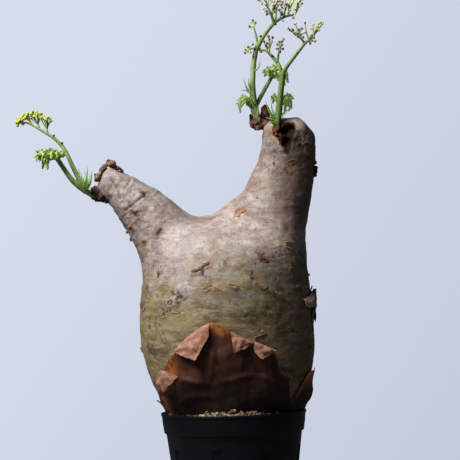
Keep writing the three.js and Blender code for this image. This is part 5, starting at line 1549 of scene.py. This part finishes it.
FORKED_SHOOT = {
    "stems": [
        ([(40.6, -8, 323), (42.2, -11.5, 333), (44.6, -13, 346.5), (47.1, -14, 365), (48.8, -14, 377)],
          [3.1, 3.1, 2.75, 2.5, 2.3]),
        ([(48, -14, 375.5), (46, -13, 383.5), (42, -12, 389.5), (38.5, -12, 393.5), (35.5, -12, 396.5),
          (32, -12, 397)], [1.8, 1.5, 1.3, 0.9]),
        ([(44.5, -13, 385.5), (45.5, -15, 392), (47, -17, 398)], [1.1, 0.9, 0.7]),
        ([(48, -14, 375.5), (52.5, -15, 382.5), (61, -16, 393), (68, -16, 401.5)], [1.8, 1.5, 1.3]),
        ([(67.5, -16, 401), (65, -18, 404), (60.5, -20, 408), (56, -21, 411)], [1, 0.7, 0.45]),
        ([(67.5, -16, 401), (71.5, -15, 404), (74.5, -14, 406.5), (77, -13, 410)], [1.2, 0.9, 0.6]),
    ],
    "stem_tints": [DEEP, FRESH, SHADED, FRESH, FRESH, FRESH],
    "leaves": [
        ([(45, -13, 350.5), (48.5, -10, 358.2), (53, -6, 359.4), (56, -2, 355.4), (56, 0, 348.8)],
          8, (0.1, 1, 0.1)),
        ([(45, -13, 352.5), (47.8, -9, 357.8), (49.5, -5, 353.8), (49, -3, 346.2)], 7, (0.7, 0.7, 0)),
        ([(45, -12, 352.5), (42.5, -9, 360), (40, -7, 360), (39.5, -6, 353)], 7, (0.2, 1, 0)),
        ([(45.5, -13, 351), (50, -9, 359.8), (54.5, -5, 360.9), (58, -2, 356.8)], 6.5, (0, 1, 0.3)),
        ([(45.5, -13, 351), (51, -9, 356), (53.5, -5, 353), (53, -2, 346.8)], 6, (0.6, 0.8, 0)),
    ],
    "bracts": [
        ([(43, -13, 338.5), (37.5, -16, 344), (33.5, -19, 354.5)], 1.7),
        ([(42.5, -12.5, 335.5), (38, -16, 338.5), (33, -19, 340.5)], 2.3),
        ([(42, -13.5, 334.5), (38.5, -17, 336), (35.5, -19, 335.5)], 1.6),
        ([(43.5, -12, 340), (39.5, -12, 346), (38, -12, 356)], 1.1),
        ([(44.5, -13, 341), (50.5, -12, 345.8), (58, -9, 349.6)], 0.8),
        ([(44.5, -13, 339.5), (48.5, -15, 343), (52.5, -17, 345)], 0.9),
    ],
    "heads": [
        ((36.5, -12, 395.5), (BROWN, TAN, PLUM), [(35.5, -12, 400.5), (34.5, -12, 404),
          (36.5, -13, 402), (37, -11, 398.8)]),
        ((38, -12, 394), (TAN, BROWN, TAN), [(39, -12, 405.5), (38, -12, 408), (40, -12, 403.5),
          (41, -13, 407)]),
        ((33, -12, 397), (PLUM, BROWN), [(31.5, -12, 396), (30.5, -12, 398)]),
        ((47, -17, 397), (BROWN, TAN, BROWN, PLUM), [(46.5, -17, 402.5), (49, -17, 402.8),
          (45.2, -16, 400.5), (48.5, -17, 399.8), (47, -16, 397.5), (49.3, -16, 397), (44.8, -16, 397),
          (47, -18, 394.5), (50, -17, 404.5)]),
        ((59, -20.5, 409), (PLUM, TAN, BROWN), [(54.5, -21, 412.5), (59.5, -20, 408), (58, -20, 411.5),
          (56, -21, 411)]),
        ((63, -19, 405.8), (ORANGE, BROWN, TAN, YELLOW), [(62.5, -19, 411.5), (65, -18, 413),
          (60.2, -19, 416.5), (62, -18, 406), (63.8, -18, 408), (67.5, -17, 409.5), (66, -17, 406),
          (61, -19, 409.5)]),
        ((70, -15.5, 402.8), (TAN, BROWN, ORANGE), [(68.3, -16, 417.5), (73, -15, 403),
          (71, -15, 404.5), (74.8, -15, 405.5), (73, -16, 407.5), (75.8, -15, 402.5), (72, -14, 401.5),
          (75, -13, 408.5)]),
        ((75, -14, 407.2), (YELLOW, ORANGE, TAN), [(75, -14, 416), (76.8, -14, 411.5), (78.2, -13, 414),
          (74, -13, 413), (79.5, -13, 411.5)]),
        ((77, -13, 410), (LIME, YELLOW), [(79.5, -13, 417), (81.3, -13, 418), (82.8, -13, 417.5),
          (80.5, -13, 415)]),
    ],
    "knots": [(61.3, -17.4, 392.6, 1.1), (40.5, -13.3, 391.8, 1), (47.5, -14.6, 380.5, 0.9)],
    "fringe": (10, 1.9),
    "tones": {"leaf": 0.7, "bract": 1.1, "stalk": 1.4, "bud": 1.2},
    "shaded": {0: 2.7, 1: 2.7, 3: 2.7, 4: 2.7},
    "cores": [],
    "bud_size": 1.05,
}

STEM, LEAF, BUD = 0, 1, 2
BUD_OUTLINE = [(0, 0), (0.5, 0.12), (0.92, 0.55), (0.95, 0.95), (0.62, 1.4), (0, 1.62)]
KNOT_OUTLINE = [(0, 0), (0.7, 0.1), (1, 0.5), (0.7, 0.95), (0, 1.1)]
KNOT_TINT = (0.02, 0.015, 0.012)
CORE_TINT = (0.75, 0.8, 0.7)
LEAF_TEETH = 5


def saw(share):
    """A forward-pointing tooth: slow rise, sharp fall."""
    phase = (share * LEAF_TEETH) % 1
    return phase / 0.72 if phase < 0.72 else (1 - phase) / 0.28


def leaf(shape, points, width, side, seed, shade):
    """A young leaflet: toothed, folded along its midrib and curled along its length."""
    curve = Curve(points)
    chord = (curve.at(0) + curve.at(1)) / 2
    inwards = chord - curve.at(0.5)
    draw = random.Random(seed)
    grid = []
    steps = LEAF_TEETH * 5
    for step in range(steps + 1):
        along = step / steps
        centre = curve.at(along)
        heading = curve.heading(along)
        across = unit(np.array(side, float) - heading * np.dot(side, heading))
        up = np.cross(across, heading)
        if np.dot(up, inwards) < 0:
            up = -up
        outline = math.sin(math.pi * min(0.98, 0.12 + 0.86 * along)) ** 0.8
        half = max(0.2, width / 2 * outline * (0.74 + 0.36 * saw(along)))
        row = []
        for place in (-1, -0.66, -0.33, 0, 0.33, 0.66, 1):
            fold = abs(place) ** 1.3 * half * 0.95
            ripple = 0.2 * math.sin(along * 22 + place * 5 + seed) * abs(place)
            spread = across * place * half * 0.82 + up * (fold + ripple)
            row.append(centre + spread + heading * abs(place) * saw(along) * 0.8)
        grid.append(row)
    tone = draw.uniform(0.8, 1.15) * shade
    plate(shape, grid, 0.35, LEAF, tint=(tone * 1.08, tone, tone * (0.85 + 0.15 * shade)))


def sprig(shape, foot, aim, length, width, droop, tint):
    """A small pointed leaflet that droops towards its tip."""
    across = unit(np.cross(aim, (0.12, 0.3, 1)))
    up = np.cross(across, aim)
    grid = []
    for along in np.linspace(0, 1, 6):
        sag = np.array((0, 0, -droop * length * along**2))
        centre = foot + aim * length * along + sag
        half = width / 2 * max(0.08, math.sin(math.pi * min(1, 0.2 + 0.8 * along)) ** 0.9)
        sides = (across * place + up * abs(place) * 0.4 for place in (-1, 0, 1))
        grid.append([centre + side * half for side in sides])
    plate(shape, grid, 0.28, LEAF, tint=tint)


def any_way(draw):
    return np.array([draw.uniform(-1, 1) for _ in range(3)])


def fringe(shape, points, count, length, seed, shade):
    """Leaflets that stand out all round from a leaf's line, up and away from its curl."""
    curve = Curve(points)
    inwards = unit((curve.at(0) + curve.at(1)) / 2 - curve.at(0.5) + np.array((0, 0, -0.01)))
    draw = random.Random(seed)
    for _ in range(count):
        along = draw.uniform(0.15, 0.85)
        aim = unit(any_way(draw) - inwards * 0.9 + curve.heading(along) * 0.6)
        tone = draw.uniform(0.8, 1.2) * shade
        size = draw.uniform(0.7, 1.2) * length
        tint = (tone, tone, tone * 0.9)
        sprig(shape, curve.at(along), aim, size, size * 0.4, draw.uniform(0.1, 0.5), tint)


def cyme(shape, curves, row, draw, bud_size, tones):
    """One branched flower head: stalks fan out from a stem and end in tight groups of buds."""
    start, tints, buds = row
    lines = np.concatenate([curve.line for curve in curves])
    root = lines[np.argmin(np.linalg.norm(lines - start, axis=1))]
    buds = np.array(buds, float)
    hub = root + 0.35 * (buds.mean(axis=0) - root)
    stalk = np.array((1, 0.95, 1.15)) * tones["stalk"]
    tube(shape, Curve([root, (root + hub) / 2, hub], 4), [0.9, 0.75], 6, 4, STEM, stalk)
    for place in buds:
        bow = hub + 0.55 * (place - hub) + any_way(draw) * 0.6
        tube(shape, Curve([hub, bow, place], 5), [0.62, 0.48, 0.5], 6, 6, STEM, stalk)
        way = unit(place - hub)
        for _ in range(draw.choice((3, 3, 4, 4))):
            aim = unit(way * 0.7 + any_way(draw))
            size = draw.uniform(0.72, 1.05) * bud_size
            tint = np.array(draw.choice(tints)) * draw.uniform(0.8, 1.25) * tones["bud"]
            outline = [(r * size, h * size) for r, h in BUD_OUTLINE]
            lathe(shape, outline, place - aim * 0.1, aim, 8, BUD, tint)


def knot(shape, x, y, z, size):
    """A blackened scar on a stem where a bract fell."""
    outline = [(r * size, h * size) for r, h in KNOT_OUTLINE]
    lathe(shape, outline, (x, y + size * 0.4, z), (0.1, -1, 0.2), 8, BUD, KNOT_TINT)


def grow(name, plan, seed):
    """A shoot in one piece: its stems, leaflets, bracts, sprays of buds and knots."""
    shape = Shape()
    draw = random.Random(seed)
    tones = plan["tones"]
    curves = [Curve(points) for points, _ in plan["stems"]]
    for curve, (_, radii), tint in zip(curves, plan["stems"], plan["stem_tints"]):
        tube(shape, curve, radii, 14, 44, STEM, tint, 0.035)
    for index, (points, width, side) in enumerate(plan["leaves"]):
        shade = plan["shaded"].get(index, tones["leaf"])
        leaf(shape, points, width, side, seed + index, shade)
        fringe(shape, points, *plan["fringe"], seed + index, shade)
    ball, faces = CHIP_BALL
    for place, size in plan["cores"]:
        shape.add(ball * size + place, faces, LEAF, tint=np.array(CORE_TINT) * tones["core"])
    for points, radius in plan["bracts"]:
        tint = np.array(FRESH) * tones["bract"]
        tube(shape, Curve(points), [radius * 0.9, radius * 0.6, 0.12], 7, 12, LEAF, tint)
    for row in plan["heads"]:
        cyme(shape, curves, row, draw, plan["bud_size"], tones)
    for row in plan["knots"]:
        knot(shape, *row)
    return shape.made(name, stem_material(), leaf_material(), bud_material())


class MakeShoots(bpy.types.Operator):
    """Make the three young shoots with their leaves and buds"""

    bl_idname = "plant.make_shoots"
    bl_label = "Make shoots"

    def execute(self, context):
        plans = {"left_shoot": LEFT_SHOOT, "tall_shoot": TALL_SHOOT, "forked_shoot": FORKED_SHOOT}
        for seed, (node, plan) in enumerate(plans.items()):
            seat(grow(node + "_grown", plan, seed + 5), "green_shoot", node)
        return {"FINISHED"}


# The pot, in millimetres
POT_HEIGHT = 100
BASE_RADIUS = 45.5
BODY_TOP_RADIUS = 56
BAND_BOTTOM = 83.5
BAND_RADIUS = 57.7
RIM_RADIUS = 60
WALL = 1.5
FLOOR = 2.6
FLUTES = 8
FLUTE_DEPTH = 2
FLUTE_TOP = 73
FIRST_FLUTE = -14.7
SLIT_WIDTH = 3
SLIT_TOP = 34
POT_SIDES = 240
# Rings of the pot's outside: height and share of the flutes' depth up the wall, then height over
# the band's foot or the pot's top and reach past the band's or the rim's radius
WALL_RINGS = [
    (0.8, 1), (12, 1), (24, 1), (36, 1), (48, 1), (58, 1), (66, 1), (69, 1), (70, 0.9),
    (71.2, 0.5), (72.4, 0.1), (FLUTE_TOP, 0), (78, 0),
]
BAND_RINGS = [(0, -0.5), (0.15, -0.1), (0.6, 0), (8.5, 1.15)]
RIM_RINGS = [(-2.6, -0.7), (-2.2, -0.15), (-1.6, 0), (-0.5, 0), (-0.1, -0.2), (0, -0.6)]


def pot_radius(height):
    return BASE_RADIUS + (BODY_TOP_RADIUS - BASE_RADIUS) * height / BAND_BOTTOM


def pot_profile():
    """Rings of the pot, as height, radius and share of the flutes' depth: from the outer base
    up over the rim and down inside."""
    outer = [(0, pot_radius(0) - 0.7, 1), (0.25, pot_radius(0) - 0.15, 1)]
    outer += [(height, pot_radius(height), share) for height, share in WALL_RINGS]
    outer += [(BAND_BOTTOM - 0.6, BODY_TOP_RADIUS, 0), (BAND_BOTTOM - 0.1, BODY_TOP_RADIUS + 0.25, 0)]
    outer += [(BAND_BOTTOM + rise, BAND_RADIUS + out, 0) for rise, out in BAND_RINGS]
    outer += [(POT_HEIGHT + rise, RIM_RADIUS + out, 0) for rise, out in RIM_RINGS]
    inner = [
        (POT_HEIGHT, RIM_RADIUS - WALL + 0.3, 0),
        (POT_HEIGHT - 0.4, RIM_RADIUS - WALL, 0),
        (BAND_BOTTOM + 1, BAND_RADIUS - WALL, 0),
        (BAND_BOTTOM, BODY_TOP_RADIUS - WALL, 0),
        (FLUTE_TOP, pot_radius(FLUTE_TOP) - WALL, 0),
        (69, pot_radius(69) - WALL, 1),
        (FLOOR, pot_radius(FLOOR) - WALL, 1),
    ]
    return outer + inner


def flute_recess(azimuth):
    """How deep into a flute an azimuth is, from 0 between flutes to 1 in a flute's flat."""
    spacing = 360 / FLUTES
    offset = (azimuth - FIRST_FLUTE + spacing / 2) % spacing - spacing / 2
    return float(smooth_step(-abs(offset), -5.4, -2.7))


def slit_cutter():
    """One bar for each slit, long enough to pass through the wall and the floor's edge."""
    cutter = Shape()
    for flute in range(FLUTES):
        turn = math.radians(FIRST_FLUTE + flute * 360 / FLUTES)
        spin = Matrix.Rotation(turn, 3, "Z")
        corners = []
        for z in (-2, SLIT_TOP - 1.5, SLIT_TOP):
            half = SLIT_WIDTH / 2 * (0.5 if z == SLIT_TOP else 1)
            for x, y in ((-half, -57), (half, -57), (half, -34.5), (-half, -34.5)):
                corners.append(spin @ Vector((x, y, z)))
        faces = [(0, 3, 2, 1), (8, 9, 10, 11), *ring_faces(3, 4)]
        cutter.add(corners, faces)
    return cutter.made("slit_cutter")


class MakePot(bpy.types.Operator):
    """Make the fluted black pot with its slits"""

    bl_idname = "plant.make_pot"
    bl_label = "Make pot"

    def execute(self, context):
        profile = pot_profile()
        points = []
        for height, radius, share in profile:
            for side in range(POT_SIDES):
                azimuth = 360 * side / POT_SIDES
                reach = radius - FLUTE_DEPTH * share * flute_recess(azimuth)
                points.append(outwards(azimuth) * reach + (0, 0, height))
        faces = ring_faces(len(profile), POT_SIDES)
        faces.append(tuple(reversed(range(POT_SIDES))))
        last = (len(profile) - 1) * POT_SIDES
        faces.append(tuple(last + side for side in range(POT_SIDES)))
        shape = Shape()
        shape.add(points, faces)
        made = shape.made("slit_pot", pot_material())
        cutter = slit_cutter()
        cut = made.modifiers.new("Slits", "BOOLEAN")
        cut.operation = "DIFFERENCE"
        cut.solver = "EXACT"
        cut.object = cutter
        mesh = apply_modifiers(made)
        bpy.data.objects.remove(cutter)
        mesh.set_sharp_from_angle(angle=math.radians(38))
        seat(made, "pot_plastic", "pot")
        return {"FINISHED"}


# The soil's loose granules, by how often each tint comes
GRAIN_TINTS = [
    ((0.4, 0.32, 0.23), 4),
    ((0.58, 0.52, 0.43), 2),
    ((0.25, 0.14, 0.07), 5),
    ((0.15, 0.085, 0.045), 5),
    ((0.05, 0.038, 0.03), 4),
]
SOIL_TOP = 97.5
MOUND_HEIGHT = 6.2
RIM_INSIDE = 57.6
RIM_CLEARANCE = 1.3
GRIT_SPREAD = 5


def granule(shape, draw, place, radius):
    """A rough granule: a ball of few faces, squashed and knocked about."""
    ball = GRANULE_BALL
    squash = np.array([draw.uniform(0.8, 1.15), draw.uniform(0.75, 1.1), draw.uniform(0.6, 0.9)])
    jitter = np.array([[draw.uniform(-0.16, 0.16) for _ in range(3)] for _ in range(len(ball[0]))])
    turn = Matrix.Rotation(draw.uniform(0, 6.28), 3, (draw.uniform(-1, 1), draw.uniform(-1, 1), 1))
    points = ((ball[0] + jitter) * squash) @ np.array(turn) * radius + place
    tints, weights = zip(*GRAIN_TINTS)
    tint = np.array(draw.choices(tints, weights)[0]) * draw.uniform(0.75, 1.2)
    aside = smooth_step(abs(place[0] + 5), 21, 30) * smooth_step(-place[1], 5, 25)
    tint = tint * (0.85 - 0.7 * aside)
    shape.add(points, ball[1], tint=tint)


class MakeSoil(bpy.types.Operator):
    """Make the grit on top of the soil, and dress the soil under it"""

    bl_idname = "plant.make_soil"
    bl_label = "Make soil"

    def execute(self, context):
        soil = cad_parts["soil"]
        soil.data.materials.clear()
        soil.data.materials.append(soil_material())
        bed = search_tree(soil.data)
        draw = random.Random(31)
        shape = Shape()
        wanted = look().grain_count // 1
        for _ in range(wanted):
            turn = draw.uniform(0, 2 * math.pi)
            reach = RIM_INSIDE - RIM_CLEARANCE - abs(draw.gauss(0, GRIT_SPREAD))
            x, y = math.sin(turn) * reach, -math.cos(turn) * reach
            radius = draw.uniform(0.8, 2.1)
            top = bed.ray_cast(Vector((x, y, 160)), Vector((0, 0, -1)))[0]
            if top is None or top[2] < SOIL_TOP - 2:
                continue
            level = min(top[2], SOIL_TOP + MOUND_HEIGHT) + draw.uniform(-0.9, 0.3)
            granule(shape, draw, np.array((x, y, level)), radius)
        seat(shape.made("top_grit", grit_material()), "soil_grit")
        return {"FINISHED"}


# Camera, light and floor
LENS = 128.8
SENSOR_WIDTH = 36
CAMERA_PLACE = (1.4, -1364.8, 192.3)
CAMERA_PITCH = 92.4
CAMERA_ROLL = -1.7
KEY_PLACE = (-0.74, -0.67, 1.36)
KEY_TARGET = (0, 0, 0.24)
KEY_WIDTH = 0.75
KEY_TINT = (1, 0.985, 0.97)
BACKDROP_LIGHT = (0.67, 0.72, 0.84)
BACKDROP_DARK = (0.56, 0.6, 0.72)
AMBIENT = (0.62, 0.66, 0.76)
AMBIENT_SHARE = 0.085
FLOOR_RADIUS = 0.75
FLOOR_BOUNCE = 0.12


def floor_material():
    """A pale floor that throws little light up at the plant and fades out towards its edge."""
    graph = Graph.material("studio_floor")
    speckle = graph.noise(30, 3, 0.5)
    colour = graph.ramp(speckle, [(0.3, (0.72, 0.75, 0.83)), (0.7, (0.76, 0.79, 0.86))])
    spot = graph.node("ShaderNodeTexCoord", output="Object")
    away = graph.node("ShaderNodeVectorMath", {"operation": "LENGTH"}, {0: spot}, output="Value")
    pale = graph.node("ShaderNodeBsdfDiffuse", None, {"Color": colour})
    dim = graph.node("ShaderNodeBsdfDiffuse", None, {"Color": (*[FLOOR_BOUNCE] * 3, 1.0)})
    camera = graph.node("ShaderNodeLightPath", output="Is Camera Ray")
    floor = graph.node("ShaderNodeMixShader", None, {0: camera, 1: dim, 2: pale})
    clear = graph.node("ShaderNodeBsdfTransparent")
    faded = graph.node("ShaderNodeMixShader", None, {0: away.step(0.56, 0.3), 1: clear, 2: floor})
    return graph.finish(faded)


def make_world():
    """A plain pale backdrop that the camera sees, over a dimmer light for the object."""
    graph = Graph(bpy.data.worlds.new("studio"))
    bpy.context.scene.world = graph.owner
    way = graph.node("ShaderNodeTexCoord", output="Generated")
    side = graph.node("ShaderNodeSeparateXYZ", None, {0: way}, output="X")
    rise = graph.node("ShaderNodeSeparateXYZ", None, {0: way}, output="Z")
    shade = (0.5 + side * 2.4 - rise * 1.8).clamped()
    backdrop = graph.mix(shade, BACKDROP_LIGHT, BACKDROP_DARK)
    seen = graph.node("ShaderNodeBackground", None, {"Color": backdrop, "Strength": 1.0})
    ambient = {"Color": (*AMBIENT, 1.0), "Strength": AMBIENT_SHARE}
    lit = graph.node("ShaderNodeBackground", None, ambient)
    camera = graph.node("ShaderNodeLightPath", output="Is Camera Ray")
    mixed = graph.node("ShaderNodeMixShader", None, {0: camera, 1: lit, 2: seen})
    graph.node("ShaderNodeOutputWorld", None, {"Surface": mixed})


def make_key_light():
    data = bpy.data.lights.new("key", "AREA")
    data.shape = "DISK"
    data.size = KEY_WIDTH
    data.energy = look().key_power
    data.color = KEY_TINT
    made = new_object("key", data)
    made.location = KEY_PLACE
    way = Vector(KEY_TARGET) - Vector(KEY_PLACE)
    made.rotation_euler = way.to_track_quat("-Z", "Y").to_euler()


def make_camera():
    data = bpy.data.cameras.new("camera")
    data.lens = LENS
    data.sensor_width = SENSOR_WIDTH
    camera = new_object("camera", data)
    tilt = Matrix.Rotation(math.radians(CAMERA_PITCH), 4, "X")
    roll = Matrix.Rotation(math.radians(CAMERA_ROLL), 4, "Z")
    camera.matrix_world = Matrix.Translation(Vector(CAMERA_PLACE) * MM) @ tilt @ roll
    bpy.context.scene.camera = camera


class MakeStage(bpy.types.Operator):
    """Make the floor, the backdrop, the key light and the camera"""

    bl_idname = "plant.make_stage"
    bl_label = "Make stage"

    def execute(self, context):
        shape = Shape()
        rim = [
            (math.sin(turn) * FLOOR_RADIUS / MM, math.cos(turn) * FLOOR_RADIUS / MM, -0.4)
            for turn in np.linspace(0, 2 * math.pi, 96, endpoint=False)
        ]
        shape.add(rim, [tuple(reversed(range(len(rim))))])
        shape.made("studio_floor", floor_material())
        make_world()
        make_key_light()
        make_camera()
        context.scene.view_settings.view_transform = "Standard"
        return {"FINISHED"}


OPERATORS = [
    MakeCaudex,
    MakePaperBark,
    MakeFlakes,
    MakeDeadTissue,
    MakeShoots,
    MakePot,
    MakeSoil,
    MakeStage,
]


class PlantPanel(bpy.types.Panel):
    """Lists the pieces of the plant and its settings"""

    bl_idname = "VIEW3D_PT_plant"
    bl_label = "Potted caudex plant"
    bl_space_type = "VIEW_3D"
    bl_region_type = "UI"
    bl_category = "Plant"

    def draw(self, context):
        for name in PlantLook.__annotations__:
            self.layout.prop(context.scene.plant_look, name)
        for operator in OPERATORS:
            self.layout.operator(operator.bl_idname)


def register():
    for entry in (PlantLook, *OPERATORS, PlantPanel):
        bpy.utils.register_class(entry)
    bpy.types.Scene.plant_look = bpy.props.PointerProperty(type=PlantLook)


def unregister():
    del bpy.types.Scene.plant_look
    for entry in reversed((PlantLook, *OPERATORS, PlantPanel)):
        bpy.utils.unregister_class(entry)


def main():
    register()
    bpy.ops.plant.make_caudex()
    bpy.ops.plant.make_paper_bark()
    bpy.ops.plant.make_flakes()
    bpy.ops.plant.make_dead_tissue()
    bpy.ops.plant.make_shoots()
    bpy.ops.plant.make_pot()
    bpy.ops.plant.make_soil()
    bpy.ops.plant.make_stage()


if __name__ == "__main__":
    main()
